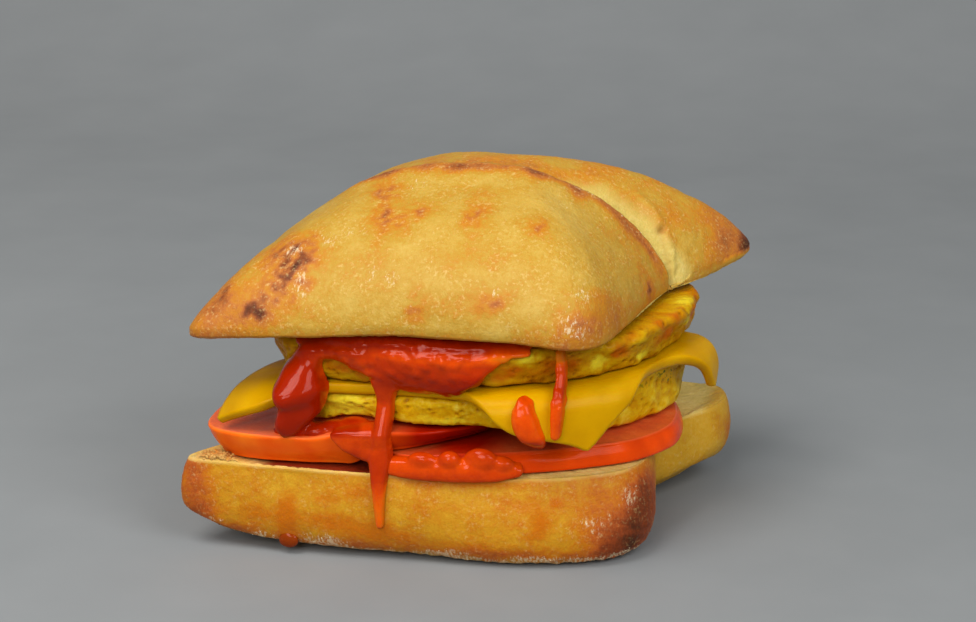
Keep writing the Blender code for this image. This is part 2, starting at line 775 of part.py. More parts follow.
class Front:
    """How far forward the food reaches at each x and z, kept a little clear."""

    def __init__(self, items):
        self.x = np.arange(-60.0, 63.0)
        self.z = np.arange(0.0, 58.0)
        reach = np.full((len(self.x), len(self.z)), FRONT_STOP)
        for item in items:
            points = [vertex.co / MM + FOOTPRINT_MIDDLE for vertex in item.data.vertices]
            faces = [tuple(face.vertices) for face in item.data.polygons]
            tree = BVHTree.FromPolygons(points, faces)
            for i, x in enumerate(self.x):
                for k, z in enumerate(self.z):
                    hit = tree.ray_cast(Vector((x, -90.0, z)), Vector((0.0, 1.0, 0.0)))[0]
                    if hit is not None:
                        reach[i, k] = min(reach[i, k], hit.y)
        for axis, cells in enumerate(FRONT_SPREAD):
            reach = self.window(reach, axis, cells).min(axis=0)
        for axis, cells in enumerate(FRONT_SPREAD):
            reach = self.window(reach, axis, cells).mean(axis=0)
        self.reach = reach

    @staticmethod
    def window(values, axis, cells):
        """Copies of a grid shifted by up to a number of cells along one axis."""
        width = [(0, 0), (0, 0)]
        width[axis] = (cells, cells)
        padded = np.pad(values, width, mode="edge")
        length = values.shape[axis]
        return np.stack([np.take(padded, range(k, k + length), axis) for k in range(2 * cells + 1)])

    def at(self, x, z):
        """Forward reach between the grid's places."""
        u = np.clip(np.asarray(x, float) - self.x[0], 0.0, len(self.x) - 1.001)
        v = np.clip(np.asarray(z, float) - self.z[0], 0.0, len(self.z) - 1.001)
        i, k = u.astype(int), v.astype(int)
        u, v = u - i, v - k
        low = self.reach[i, k] * (1.0 - u) + self.reach[i + 1, k] * u
        high = self.reach[i, k + 1] * (1.0 - u) + self.reach[i + 1, k + 1] * u
        return low * (1.0 - v) + high * v


def run_of_sauce(name, front, points, material, steps, across=6, lift=0.0):
    """A rounded run of sauce lying against the front of the food."""
    path = spread(curve_through(points, closed=False), steps)
    course = path[:, :2]
    way = np.gradient(course, axis=0)
    way /= np.linalg.norm(way, axis=1, keepdims=True)
    loops = []
    share = np.linspace(-1.0, 1.0, across + 1)
    for spot, heading, half, thick in zip(course, way, path[:, 2], path[:, 3]):
        x = spot[0] - heading[1] * half * share
        z = spot[1] + heading[0] * half * share
        inner = front.at(x, z) - GAP - lift
        outer = inner - thick * np.sqrt(1.0 - share * share)
        face = np.column_stack((x, outer, z))
        rear = np.column_stack((x, inner, z))[-2:0:-1]
        loops.append(np.concatenate((face, rear)))
    ends = []
    for k, sign in ((0, -1.0), (-1, 1.0)):
        x, z = course[k] + sign * way[k] * path[k, 2] * 0.5
        ends.append((x, float(front.at(x, z)) - GAP - lift - path[k, 3] * 0.3, z))
    return skin(name, loops, ends[0], ends[1], material)


def bubble_path():
    """The line of ketchup bubbles on the rim of the right slice."""
    points = []
    for x in np.linspace(*BUBBLE_LINE, 27):
        top, puff = BUBBLE_LEVEL, 0.0
        for middle, half, peak in BUBBLES:
            arch = math.sqrt(max(0.0, 1.0 - ((x - middle) / half) ** 2))
            top = max(top, BUBBLE_LEVEL + (peak - BUBBLE_LEVEL) * arch)
            puff = max(puff, arch)
        ends = min(x - BUBBLE_LINE[0], BUBBLE_LINE[1] - x)
        fade = 0.35 + 0.65 * float(smooth(0.0, 2.0, ends))
        half = 0.5 * (top - BUBBLE_FOOT) * fade
        points.append((x, 0.5 * (top + BUBBLE_FOOT), half, (0.7 + 1.3 * puff) * fade))
    return points


def fuse(name, pieces):
    """Unite overlapping pieces into one solid and remove the rest."""
    body, others = pieces[0], pieces[1:]
    group = bpy.data.collections.new(name + "_pieces")
    for item in others:
        group.objects.link(item)
    union = body.modifiers.new("union", "BOOLEAN")
    union.operation = "UNION"
    union.operand_type = "COLLECTION"
    union.collection = group
    union.solver = "EXACT"
    bpy.context.view_layer.update()
    graph = bpy.context.evaluated_depsgraph_get()
    joined = bpy.data.meshes.new_from_object(body.evaluated_get(graph))
    body.modifiers.clear()
    body.data = joined
    body.name = name
    joined.name = name
    for item in others:
        bpy.data.objects.remove(item, do_unlink=True)
    bpy.data.collections.remove(group)
    return body


def sauce_under(x, y):
    """Height of the underside of the ketchup under the crown."""
    return upper_egg_over(x, y) + GAP


def sauce_over(x, y):
    """Height of the top of the ketchup under the crown."""
    return sauce_under(x, y) + SAUCE_THICK


def build_ketchup(front, material):
    """Ketchup: the layer under the crown with its runs, and three loose runs."""
    plan = ring_through(SAUCE_LAYER, SAUCE_POINTS)
    layer = slab("ketchup", plan, SAUCE_MIDDLE, sauce_under, sauce_over, 0.0,
                 SAUCE_THICK / 3.0, material)
    sheet = run_of_sauce("sheet", front, SAUCE_SHEET, material, 16, lift=SHEET_LIFT)
    blob = run_of_sauce("blob", front, SAUCE_BLOB, material, 12, across=8, lift=BLOB_LIFT)
    drip = run_of_sauce("drip", front, SAUCE_DRIP, material, 21, lift=DRIP_LIFT)
    fuse("ketchup", [layer, sheet, blob, drip])
    run_of_sauce("ketchup_drop", front, CHEESE_DROP, material, 9)
    run_of_sauce("ketchup_thread", front, THIN_DRIP, material, 12, across=4)
    run_of_sauce("ketchup_bubbles", front, bubble_path(), material, 28)


def clear_scene():
    """Start from an empty scene."""
    for item in list(bpy.data.objects):
        bpy.data.objects.remove(item, do_unlink=True)


def main():
    """Build the sandwich from the heel up."""
    clear_scene()
    crust = finish("crust", (0.72, 0.40, 0.09), 0.7)
    tomato = finish("tomato", (0.65, 0.07, 0.01), 0.35)
    egg = finish("egg", (0.60, 0.38, 0.02), 0.5)
    cheese = finish("cheese", (0.80, 0.36, 0.01), 0.4)
    ketchup = finish("ketchup", (0.45, 0.03, 0.01), 0.2)
    stack = [build_heel(crust)]
    stack += build_slices(tomato)
    stack += build_eggs(egg)
    stack.append(build_cheese(cheese))
    build_ketchup(Front(stack), ketchup)
    build_crown(crust)


main()
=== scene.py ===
"""Breakfast sandwich: a split roll with tomato, egg, cheese and ketchup.

Every food is built again at full detail from the same named shapes as its
solid, stands where the solid stands, and gets a procedural finish. Shapes are
in millimetres: x to the right along the roll, the front towards -y, z up.
"""

import logging
import math
from dataclasses import dataclass
from enum import Enum
from functools import partial
from typing import Callable, Sequence

import bmesh
import bpy
import numpy as np
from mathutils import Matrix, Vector
from mathutils.bvhtree import BVHTree

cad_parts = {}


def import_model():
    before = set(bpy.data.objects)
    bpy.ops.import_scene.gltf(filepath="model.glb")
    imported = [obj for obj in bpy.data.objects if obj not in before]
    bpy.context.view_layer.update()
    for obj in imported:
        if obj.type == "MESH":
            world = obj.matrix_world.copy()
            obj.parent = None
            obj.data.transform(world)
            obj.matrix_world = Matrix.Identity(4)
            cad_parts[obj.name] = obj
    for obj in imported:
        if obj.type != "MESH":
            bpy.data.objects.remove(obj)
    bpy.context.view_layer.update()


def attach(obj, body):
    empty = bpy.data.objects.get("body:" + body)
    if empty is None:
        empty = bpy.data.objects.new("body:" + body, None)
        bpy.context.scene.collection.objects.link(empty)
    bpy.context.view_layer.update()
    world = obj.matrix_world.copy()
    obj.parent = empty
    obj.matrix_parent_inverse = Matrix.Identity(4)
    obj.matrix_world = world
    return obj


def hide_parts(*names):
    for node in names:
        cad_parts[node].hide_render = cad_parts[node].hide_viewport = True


Array = np.ndarray
Piece = bpy.types.Object
Material = bpy.types.Material
Socket = bpy.types.NodeSocket
Heights = Callable[[Array, Array], Array]

LOG = logging.getLogger("sandwich")
MM = 0.001
GAP = 0.3
BODY = "root"
FOOTPRINT_MIDDLE = np.array((0.55, -0.47, 0.0))
CURVE_STEPS = 24
TINY = 1e-6


def smooth(low: float, high: float, value: Array | float) -> Array:
    """Rise from 0 at low to 1 at high, level at both; high may be the lower of the two."""
    part = np.clip((np.asarray(value, float) - low) / (high - low), 0.0, 1.0)
    return part * part * (3.0 - 2.0 * part)


def between(value: Array, start: float, full: float, fade: float, end: float) -> Array:
    """Rise from 0 at start to 1 at full and fall again from fade to 0 at end."""
    return smooth(start, full, value) * smooth(end, fade, value)


def hump(value: Array | float, width: Array | float) -> Array:
    """Fall off from 1 at 0 to 0.37 at one width on either side."""
    return np.exp(-((value / width) ** 2))


def curve_through(points: Sequence, closed: bool) -> Array:
    """Draw a dense smooth curve through points, CURVE_STEPS for each span.

    Args:
        points: Points of any dimension.
        closed: Whether the last point joins the first.

    Returns:
        The curve, its last point included.
    """
    known = np.asarray(points, float)
    count = len(known)
    spans = count if closed else count - 1
    found = []
    for span in range(spans):
        corner = []
        for shift in (-1, 0, 1, 2):
            index = (span + shift) % count if closed else min(max(span + shift, 0), count - 1)
            corner.append(known[index])
        before, start, end, after = corner
        for t in np.arange(CURVE_STEPS) / CURVE_STEPS:
            bend = (2.0 * before - 5.0 * start + 4.0 * end - after) * t * t
            twist = (3.0 * start - before - 3.0 * end + after) * t ** 3
            found.append(0.5 * (2.0 * start + (end - before) * t + bend + twist))
    found.append(known[0] if closed else known[-1])
    return np.array(found)


def spread(curve: Array, count: int, ease: float = 0.0) -> Array:
    """Take points at even distances along a dense curve.

    Args:
        curve: The dense curve.
        count: How many points, both ends included.
        ease: 0 is even, 1 draws the points together at both ends.

    Returns:
        The points.
    """
    run = np.linalg.norm(np.diff(curve[:, :2], axis=0), axis=1)
    along = np.concatenate(([0.0], np.cumsum(run)))
    share = np.linspace(0.0, 1.0, count)
    share = (1.0 - ease) * share + ease * (0.5 - 0.5 * np.cos(math.pi * share))
    wanted = share * along[-1]
    columns = [np.interp(wanted, along, curve[:, k]) for k in range(curve.shape[1])]
    return np.stack(columns, axis=1)


def ring_through(points: Sequence, count: int) -> Array:
    """Take count even points round a closed curve through the given ones."""
    return spread(curve_through(points, closed=True), count + 1)[:-1]


class Noise:
    """Seeded unevenness that is the same on every run."""

    GAIN = 1.6
    LAYER_SHIFT = 13.7
    FAR = 9.0

    def __init__(self, seed: int) -> None:
        """Shuffle the lattice once for this seed."""
        chance = np.random.default_rng(seed)
        self.order = chance.permutation(256)
        ways = chance.normal(size=(256, 3))
        self.ways = ways / np.linalg.norm(ways, axis=1, keepdims=True)
        self.spots = chance.uniform(size=(256, 3))

    def _index(self, cell: Array) -> Array:
        """Pick the lattice entry of each whole-numbered cell."""
        x, y, z = (cell & 255).T
        return self.order[(self.order[(self.order[x] + y) & 255] + z) & 255]

    def at(self, points: Array, size: float | Sequence[float]) -> Array:
        """Smooth bumps between about -1 and 1.

        Args:
            points: Places, one row each.
            size: Width of a bump, one number or one for each axis.

        Returns:
            The bump at each place.
        """
        place = np.asarray(points, float) / np.asarray(size, float)
        cell = np.floor(place).astype(int)
        part = place - cell
        ease = part ** 3 * (part * (part * 6.0 - 15.0) + 10.0)
        total = np.zeros(len(place))
        for corner in np.ndindex(2, 2, 2):
            step = np.array(corner)
            pull = (self.ways[self._index(cell + step)] * (part - step)).sum(axis=1)
            total += pull * np.prod(np.where(step, ease, 1.0 - ease), axis=1)
        return total * self.GAIN

    def layers(self, points: Array, size: float, count: int, fall: float = 0.5) -> Array:
        """Bumps on bumps: each layer half the width of the last and weaker by fall."""
        total = np.zeros(len(points))
        for layer in range(count):
            place = np.asarray(points) + self.LAYER_SHIFT * layer
            total += fall ** layer * self.at(place, size / 2 ** layer)
        return total

    def cells(self, points: Array, size: float) -> Array:
        """Distance to the nearest of scattered spots, in widths of a cell.

        Args:
            points: Places, one row each.
            size: Mean distance between spots.

        Returns:
            0 at a spot, and about 0.9 midway between spots.
        """
        place = np.asarray(points, float) / size
        base = np.floor(place).astype(int)
        nearest = np.full(len(place), self.FAR)
        for shift in np.ndindex(3, 3, 3):
            cell = base + np.array(shift) - 1
            spot = cell + self.spots[self._index(cell)]
            nearest = np.minimum(nearest, np.linalg.norm(place - spot, axis=1))
        return nearest


def show(name: str, data: bpy.types.ID) -> Piece:
    """Stand a new object with this data in the scene."""
    item = bpy.data.objects.new(name, data)
    bpy.context.scene.collection.objects.link(item)
    return item


def solved(item: Piece) -> bpy.types.Mesh:
    """Make a plain mesh of a piece as its modifiers leave it."""
    graph = bpy.context.evaluated_depsgraph_get()
    return bpy.data.meshes.new_from_object(item.evaluated_get(graph))


def place_mesh(name: str, points: Array, faces: Sequence) -> Piece:
    """Put a mesh into the scene, its faces pointing outwards.

    Args:
        name: Name of the piece.
        points: Its points in millimetres.
        faces: Its faces as lists of point numbers.

    Returns:
        The new object, smooth shaded.
    """
    data = bpy.data.meshes.new(name)
    data.from_pydata(((points - FOOTPRINT_MIDDLE) * MM).tolist(), [], faces)
    form = bmesh.new()
    form.from_mesh(data)
    bmesh.ops.recalc_face_normals(form, faces=form.faces)
    form.to_mesh(data)
    form.free()
    data.shade_smooth()
    return show(name, data)


def close_rings(name: str, rings: Array, first: Sequence, last: Sequence) -> Piece:
    """Make a closed piece from rings of points and a point at either end.

    Args:
        name: Name of the piece.
        rings: Points as (ring, place on it, xyz).
        first: The point that closes the first ring.
        last: The point that closes the last ring.

    Returns:
        The new object.
    """
    rows, count = rings.shape[:2]
    k = np.arange(count)
    n = (k + 1) % count
    faces = []
    for row in range(rows - 1):
        low, high = row * count, (row + 1) * count
        faces += np.column_stack((low + k, low + n, high + n, high + k)).tolist()
    tail = (rows - 1) * count
    start, end = rows * count, rows * count + 1
    faces += np.column_stack((k, n, np.full(count, start))).tolist()
    faces += np.column_stack((tail + k, tail + n, np.full(count, end))).tolist()
    points = np.concatenate((rings.reshape(-1, 3), [first], [last]))
    return place_mesh(name, points, faces)


def points_of(item: Piece) -> Array:
    """Read a piece's points in millimetres."""
    values = np.empty(len(item.data.vertices) * 3)
    item.data.vertices.foreach_get("co", values)
    return values.reshape(-1, 3) / MM + FOOTPRINT_MIDDLE


def normals_of(item: Piece) -> Array:
    """Read the outward direction at each point of a piece."""
    values = np.empty(len(item.data.vertices) * 3)
    item.data.vertex_normals.foreach_get("vector", values)
    return values.reshape(-1, 3)


def move_points(item: Piece, points: Array) -> None:
    """Write a piece's points, given in millimetres."""
    item.data.vertices.foreach_set("co", ((points - FOOTPRINT_MIDDLE) * MM).ravel())
    item.data.update()


def raise_by(item: Piece, height: Array) -> None:
    """Lift every point of a piece outwards by its own height in millimetres."""
    move_points(item, points_of(item) + normals_of(item) * height[:, None])


def paint(item: Piece, **masks: Array) -> None:
    """Store numbers between 0 and 1 at each point of a piece, by name, for its finish."""
    for name, values in masks.items():
        layer = item.data.attributes.new(name, "FLOAT", "POINT")
        layer.data.foreach_set("value", np.clip(values, 0.0, 1.0).astype(np.float32))


@dataclass(frozen=True)
class Mark:
    """A soft-edged spot on a food: where it is, how wide and how strong."""

    x: float
    y: float
    z: float
    across: float
    high: float
    strength: float

    def on(self, points: Array) -> Array:
        """Strength of the mark at each point."""
        side = np.hypot(points[:, 0] - self.x, 0.6 * (points[:, 1] - self.y)) / self.across
        rise = (points[:, 2] - self.z) / self.high
        return self.strength * np.exp(-(side ** 2) - rise ** 2)


def marks(*rows: Sequence[float]) -> tuple[Mark, ...]:
    """Make a mark of each row of x, y, z, across, high and strength."""
    return tuple(Mark(*row) for row in rows)


def marks_on(spots: Sequence[Mark], points: Array) -> Array:
    """Add up all marks at each point."""
    return sum((spot.on(points) for spot in spots), np.zeros(len(points)))


class Outline:
    """A closed outline seen from its middle, with values that vary round it."""

    def __init__(self, points: Sequence, middle: Sequence[float]) -> None:
        """Sort the outline by the angle at which its middle sees it."""
        self.middle = np.array(middle, float)
        dense = curve_through(points, closed=True)[:-1]
        offset = dense[:, :2] - self.middle
        angle = np.arctan2(offset[:, 1], offset[:, 0])
        order = np.argsort(angle)
        self.angle = angle[order]
        self.radius = np.linalg.norm(offset, axis=1)[order]
        self.values = dense[order, 2:]

    def look(self, x: Array, y: Array) -> tuple[Array, Array, list]:
        """Find how far out places lie.

        Args:
            x: Places along the roll.
            y: Places across it.

        Returns:
            The share of the way out (1 on the outline), the outline's radius
            there, and its further values there.
        """
        dx = np.asarray(x, float) - self.middle[0]
        dy = np.asarray(y, float) - self.middle[1]
        angle = np.arctan2(dy, dx)
        turn = 2.0 * math.pi
        radius = np.interp(angle, self.angle, self.radius, period=turn)
        values = []
        for k in range(self.values.shape[1]):
            values.append(np.interp(angle, self.angle, self.values[:, k], period=turn))
        return np.hypot(dx, dy) / radius, radius, values


# Shapes shared with the solids
LEAN_RIGHT = 0.04
LEAN_BACK = 0.02
CROWN_FRONT = (
    (-51.5, 0, 49.6, 0.66), (-54.6, -18, 49, 0.73), (-57, -31, 48.6, 0.81), (-54.4, -37.4, 49.4, 0.81),
    (-44, -38.4, 50.4, 0.68), (-28, -38.6, 51.6, 0.57), (-8, -38.4, 53, 0.5), (14, -38.6, 53.2, 0.5),
    (28.5, -37.8, 52.2, 0.52), (35.4, -32, 51.8, 0.56), (38.6, -20, 52.4, 0.62), (41.6, -5, 53.2, 0.68),
    (44.6, 7.6, 53.8, 0.72),
)
CROWN_BACK = (
    (48.6, 13.4, 54, 0.72), (54.6, 23, 54.8, 0.76), (60.2, 34.6, 55.8, 0.8), (57.6, 40, 55.8, 0.78),
    (47, 40.6, 54.8, 0.66), (25, 40.6, 53.6, 0.54), (0, 40.6, 52.8, 0.5), (-22, 40.2, 52, 0.5),
    (-37, 36.6, 51.2, 0.55), (-46, 22, 50.4, 0.6),
)
SEAM = (
    (-51.5, 0), (-30, -2), (0, 0), (18, 1), (30, 4), (39, 6.4), (44.6, 7.6),
)
HEEL = (
    (-57.6, -35.8, 2.2, 0.6, 8.4), (-46, -37.4, 1.6, 4, 3.4), (-30, -37.8, 1.4, 5, 1.9),
    (-5, -36.8, 1.8, 4.5, 1), (18, -33.8, 3, 1.5, 0.8), (33.6, -27.6, 4.6, -0.5, 0.8),
    (42, -19.6, 3.6, 0.5, 1.4), (43.6, -8, 1.6, 3, 3), (42, 5, 1.2, 4, 4.4), (47, 12.5, 2.4, 5.5, 5.6),
    (54.4, 22, 2.2, 7, 7), (56, 33, 1.8, 6, 5), (48.6, 39.2, 1.6, 4.5, 2.6), (25, 39.8, 1.4, 4.5, 2.2),
    (0, 39.6, 1.4, 4.5, 2), (-22, 38.8, 1.4, 4.5, 2.2), (-35, 34.6, 1.4, 4.5, 2.6),
    (-43, 18, 1.2, 4.5, 3.2), (-47, -4, 1.2, 4, 4.6), (-51.4, -23, 1.4, 3, 7),
)
RIGHT_SLICE = (
    (-18, -6), (-15, -28), (-4, -35.6), (13.6, -32.2), (28.8, -25.4), (40.6, -17.8), (46.8, -8.4),
    (48.2, 0), (46.8, 10), (42, 20), (31, 28), (14, 31.6), (-4, 27), (-14, 14),
)
LEFT_SLICE = (
    (-54.8, -20), (-53.4, -33.4), (-43.6, -37.8), (-25, -37.4), (-5, -34.4), (9, -24), (15, -6),
    (9, 15), (-8, 29), (-28, 31), (-43, 22), (-51.6, 2),
)
LOWER_EGG = (
    (-38, -12), (-34, -27.5), (-23, -32.4), (-8, -33.2), (8, -32.8), (22, -28.6), (34, -17), (42.6, -8),
    (48, 3), (48.6, 13), (45, 24), (34, 31), (8, 33), (-20, 31), (-36, 14),
)
UPPER_EGG = (
    (-44, -10), (-39.6, -25), (-29, -32), (-12, -34.8), (6, -35.4), (20, -33.8), (33, -27.4),
    (42, -18.6), (48.4, -6), (51.4, 8), (49, 20), (39, 29.6), (15, 33.6), (-12, 33.6), (-33, 27),
    (-43, 9),
)
CUT_Z = 21.0
CHEESE_UNDER = 39.0
CHEESE_THICK = 2.4
RIGHT_THICK = 4.8
RIGHT_THINS = 1.6
LEFT_THICK = 7.0
LEFT_THINS = 3.0
UPPER_EGG_TOP = 50.2
LOWER_EGG_CLEAR = 0.9
EGG_MIDDLE = (4.0, 0.0)
CROWN_OUTLINE = Outline(CROWN_FRONT + CROWN_BACK, (3.0, 12.0))
LEFT_OUTLINE = Outline(LEFT_SLICE, (-19.0, -3.0))
RIGHT_OUTLINE = Outline(RIGHT_SLICE, (15.0, -3.0))
SHELF_OUTLINE = Outline(UPPER_EGG, EGG_MIDDLE)


def lean(x: Array, y: Array) -> Array:
    """How much higher the stack is at a place than at its middle."""
    return LEAN_RIGHT * np.asarray(x, float) + LEAN_BACK * np.asarray(y, float)


def right_slice_under(x: Array, y: Array) -> Array:
    """The right slice lies flat on the heel."""
    return np.full(np.broadcast(x, y).shape, CUT_Z + GAP)


def right_slice_over(x: Array, y: Array) -> Array:
    """Top of the right slice, thinner on its left side."""
    return right_slice_under(x, y) + RIGHT_THICK - RIGHT_THINS * smooth(5.0, -14.0, x)


def left_slice_climb(x: Array, y: Array, start: float, end: float) -> Array:
    """Height of a face that lies on the heel and climbs onto the right slice."""
    out, radius, _ = RIGHT_OUTLINE.look(x, y)
    climb = 1.0 - smooth(start, end, (out - 1.0) * radius)
    lying = CUT_Z + GAP
    return lying + (right_slice_over(x, y) + GAP - lying) * climb


def left_slice_under(x: Array, y: Array) -> Array:
    """The left slice spans the step beside the right slice."""
    return left_slice_climb(x, y, 1.0, 8.0)


def left_slice_over(x: Array, y: Array) -> Array:
    """Top of the left slice, thinner on its right side."""
    return left_slice_climb(x, y, 2.0, 18.0) + LEFT_THICK - LEFT_THINS * smooth(-25.0, 4.0, x)


def lower_egg_under(x: Array, y: Array) -> Array:
    """The lower patty rests on the left slice and sags onto the right one."""
    out, radius, _ = LEFT_OUTLINE.look(x, y)
    sag = smooth(3.0, 16.0, (out - 1.0) * radius)
    high = left_slice_over(x, y)
    return high + (right_slice_over(x, y) - high) * sag + LOWER_EGG_CLEAR


def cheese_under(x: Array, y: Array) -> Array:
    """Lower face of the cheese where it lies on the lower patty."""
    return CHEESE_UNDER + lean(x, y)


def below_cheese(x: Array, y: Array) -> Array:
    """Top of the lower patty."""
    return cheese_under(x, y) - GAP


def above_cheese(x: Array, y: Array) -> Array:
    """Underside of the upper patty."""
    return cheese_under(x, y) + CHEESE_THICK + GAP


def upper_egg_over(x: Array, y: Array) -> Array:
    """Top of the upper patty, which follows the crown's cut face."""
    return UPPER_EGG_TOP + lean(x, y)


class Part(Enum):
    """Where a row of the crown or the heel lies."""

    RIM = 0
    FRONT = 1
    EAR = 2
    BEHIND = 3
    CUT = 4

    def on(self, kind: Array) -> Array:
        """1 at the points of this part, 0 elsewhere."""
        return (kind == self.value).astype(float)


@dataclass
class Crown:
    """The top half of the roll: crust, raised ear, pale tear and cut face."""

    sections: int = 236
    front_rows: int = 84
    back_rows: int = 88
    cut_rows: int = 22
    lip_rows: int = 7
    tuck_rows: int = 5
    innermost: float = 0.008
    cut_reach: float = 0.96
    top: float = 82.4
    tuck_height: float = 2.4
    tuck_inset: float = 1.4
    cut_level: float = 53.1
    seed: int = 7
    jag_seed: int = 31
    jag_sizes: tuple = ((5.0, 0.6), (1.7, 0.35))
    ear_start: tuple = (-40.0, -20.0)
    ear_rise: float = 1.8
    ear_reach: float = 6.0
    ear_lip: float = 1.3
    least_lip: float = 0.25
    tear_depth: float = 4.6
    tear_width: float = 12.0
    least_tear: float = 0.7
    slit_width: float = 3.0
    fold: tuple = ((33.6, 18.0), (37.3, 16.7), (40.1, 15.6), (42.8, 13.7), (44.7, 12.3), (46.4, 11.0))
    grain_way: tuple = ((1.0, 0.35, 0.0), (-0.35, 1.0, 0.0), (0.0, 0.0, 1.0))
    jag_width: float = 1.6
    floor_back: float = 0.9
    hole: Mark = Mark(42.2, 13.2, 66.6, 0.9, 1.0, 1.0)
    warmed: tuple = marks(
        (-47.5, -36, 57, 8, 6, 0.13), (-51, -37, 53.5, 5, 3, 0.1), (-39, -37.5, 55.5, 5, 3, 0.1),
        (30, -36.5, 57, 8, 5, 0.13), (35, -29, 60, 5, 5, 0.09), (38, -22, 56, 5, 3, 0.1),
        (8, -36, 63, 8, 2.6, 0.07), (-16, -33, 68, 9, 2.6, 0.08), (6, -30, 70, 9, 2.6, 0.08),
        (49.5, 29.8, 68, 5, 3.4, 0.16), (54, 26, 61.5, 4, 3, 0.12), (27, 22, 79, 8, 2.4, 0.12),
        (38, 24, 74.5, 4, 2, 0.1),
    )
    toasted: tuple = marks(
        (-35, -31.2, 64.4, 6.2, 8.2, 0.38), (-31.5, -28.5, 68, 4.6, 4.4, 0.2),
        (-40.8, -37.6, 56, 3.4, 3.6, 0.34), (-48.4, -33.7, 58.8, 2.2, 3, 0.22),
        (-17.9, -10.4, 78.5, 4.6, 2.4, 0.26), (-16.1, -19.3, 75.5, 4, 1.9, 0.26),
        (-12.5, -23, 74.2, 4.6, 1.9, 0.16), (-6.6, -19.1, 76.5, 3.2, 1.5, 0.2),
        (5.9, -20.4, 76.1, 3, 3.2, 0.24), (4.4, -10, 79, 3, 2, 0.14),
        (-4.7, -37.5, 60.3, 2.8, 4.2, 0.26), (12.4, -37.3, 61.4, 3.4, 2.4, 0.26),
        (19.9, -21.4, 74.9, 3.2, 1.8, 0.24), (30.5, -36.4, 56.5, 6, 3.6, 0.22),
        (42, -3, 57.8, 2.4, 4.2, 0.34),
    )
    floured: tuple = marks(
        (31.1, -31.7, 63.6, 3, 2.6, 0.7), (29.5, -36.8, 57.2, 5, 3.4, 0.6),
        (-33.6, -27.2, 68.4, 2.2, 2.4, 0.9), (-31.8, -33.5, 63.8, 1.8, 2, 0.8),
        (-30.5, -35.7, 61.4, 2.6, 2, 0.6), (-14.2, -34.1, 65.5, 1.4, 1.8, 0.9),
        (-9.5, -34.2, 65.8, 2, 2, 0.9), (13.8, -35.6, 64.5, 1.6, 2, 0.9),
        (-18.4, -24.6, 72.7, 2, 1.4, 0.8), (-26.7, -26.3, 70.4, 3, 2, 0.7),
        (21.7, -6.9, 77.7, 4, 2.4, 0.5), (-10, -6, 80.5, 8, 2, 0.4), (36, -20, 62, 3, 6, 0.4),
    )

    def dome(self, x: Array, y: Array) -> Array:
        """Height of the crust before the ear and the tear."""
        out, _, (rim, fullness) = CROWN_OUTLINE.look(x, y)
        edge = rim + self.tuck_height
        return edge + (self.top - edge) * np.clip(1.0 - out * out, 0.0, 1.0) ** fullness

    def cut_face(self, x: Array, y: Array) -> Array:
        """Height of the cut face under the crown."""
        out, _, (rim, _) = CROWN_OUTLINE.look(x, y)
        level = self.cut_level + lean(x, y)
        return rim + (level - rim) * np.clip(1.0 - out * out, 0.0, 1.0)

    def ear(self, x: Array, away: Array | float) -> Array:
        """How far the ear lifts the crust in front of the seam."""
        along = smooth(*self.ear_start, x) * (1.0 - 0.8 * smooth(30.0, 46.5, x))
        return self.ear_rise * along * hump(away, self.ear_reach)

    def tear(self, x: Array, away: Array | float) -> Array:
        """How far the crust drops behind the seam."""
        fading = 1.0 - 0.3 * smooth(38.0, 46.5, x)
        depth = self.least_tear + self.tear_depth * smooth(6.0, 28.0, x) * fading
        width = self.slit_width + self.tear_width * smooth(4.0, 26.0, x)
        width = width - 0.6 * self.tear_width * smooth(36.0, 46.5, x)
        return depth * smooth(-50.0, -40.0, x) * (1.0 - smooth(0.1, 1.0, np.asarray(away) / width))

    def half(self, edge: Array, seam: Array, rows: int) -> list:
        """Rows from a cut edge over the tuck and up the crust to the seam.

        Args:
            edge: The cut edge, one point for each section.
            seam: The seam, one point for each section.
            rows: How many rows of crust.

        Returns:
            Pairs of a row of points and its part of the crown.
        """
        found = []
        for turn in np.linspace(0.0, 0.5, self.tuck_rows):
            inset = self.tuck_inset * (1.0 - math.sin(turn * math.pi))
            out = edge[:, :2] - seam
            length = np.maximum(np.linalg.norm(out, axis=1, keepdims=True), 1.0)
            plan = edge[:, :2] - out / length * np.minimum(inset, length * 0.2)
            level = edge[:, 2] + self.tuck_height * turn * 0.8
            found.append((np.column_stack((plan, level)), Part.RIM))
        for share in np.sin(np.linspace(0.5, self.innermost, rows) * math.pi):
            plan = seam + (edge[:, :2] - seam) * share
            level = self.dome(plan[:, 0], plan[:, 1])
            found.append((np.column_stack((plan, level)), Part.FRONT))
        return found

    def lip(self, crest: Array, floor: Array, reach: Array) -> list:
        """Rows of the ear from its crest over its lip to the floor of the tear.

        Args:
            crest: The ear's upper edge, one point for each section.
            floor: The floor of the tear.
            reach: How far the lip hangs over.

        Returns:
            Pairs of a row of points and its part of the crown.
        """
        found = [(crest, Part.EAR)]
        for step in range(1, self.lip_rows):
            turn = step / self.lip_rows
            row = crest + (floor - crest) * turn ** 1.6
            row[:, 1] += reach * math.sin(math.pi * turn ** 0.6)
            found.append((row, Part.EAR))
        return found + [(floor, Part.BEHIND)]

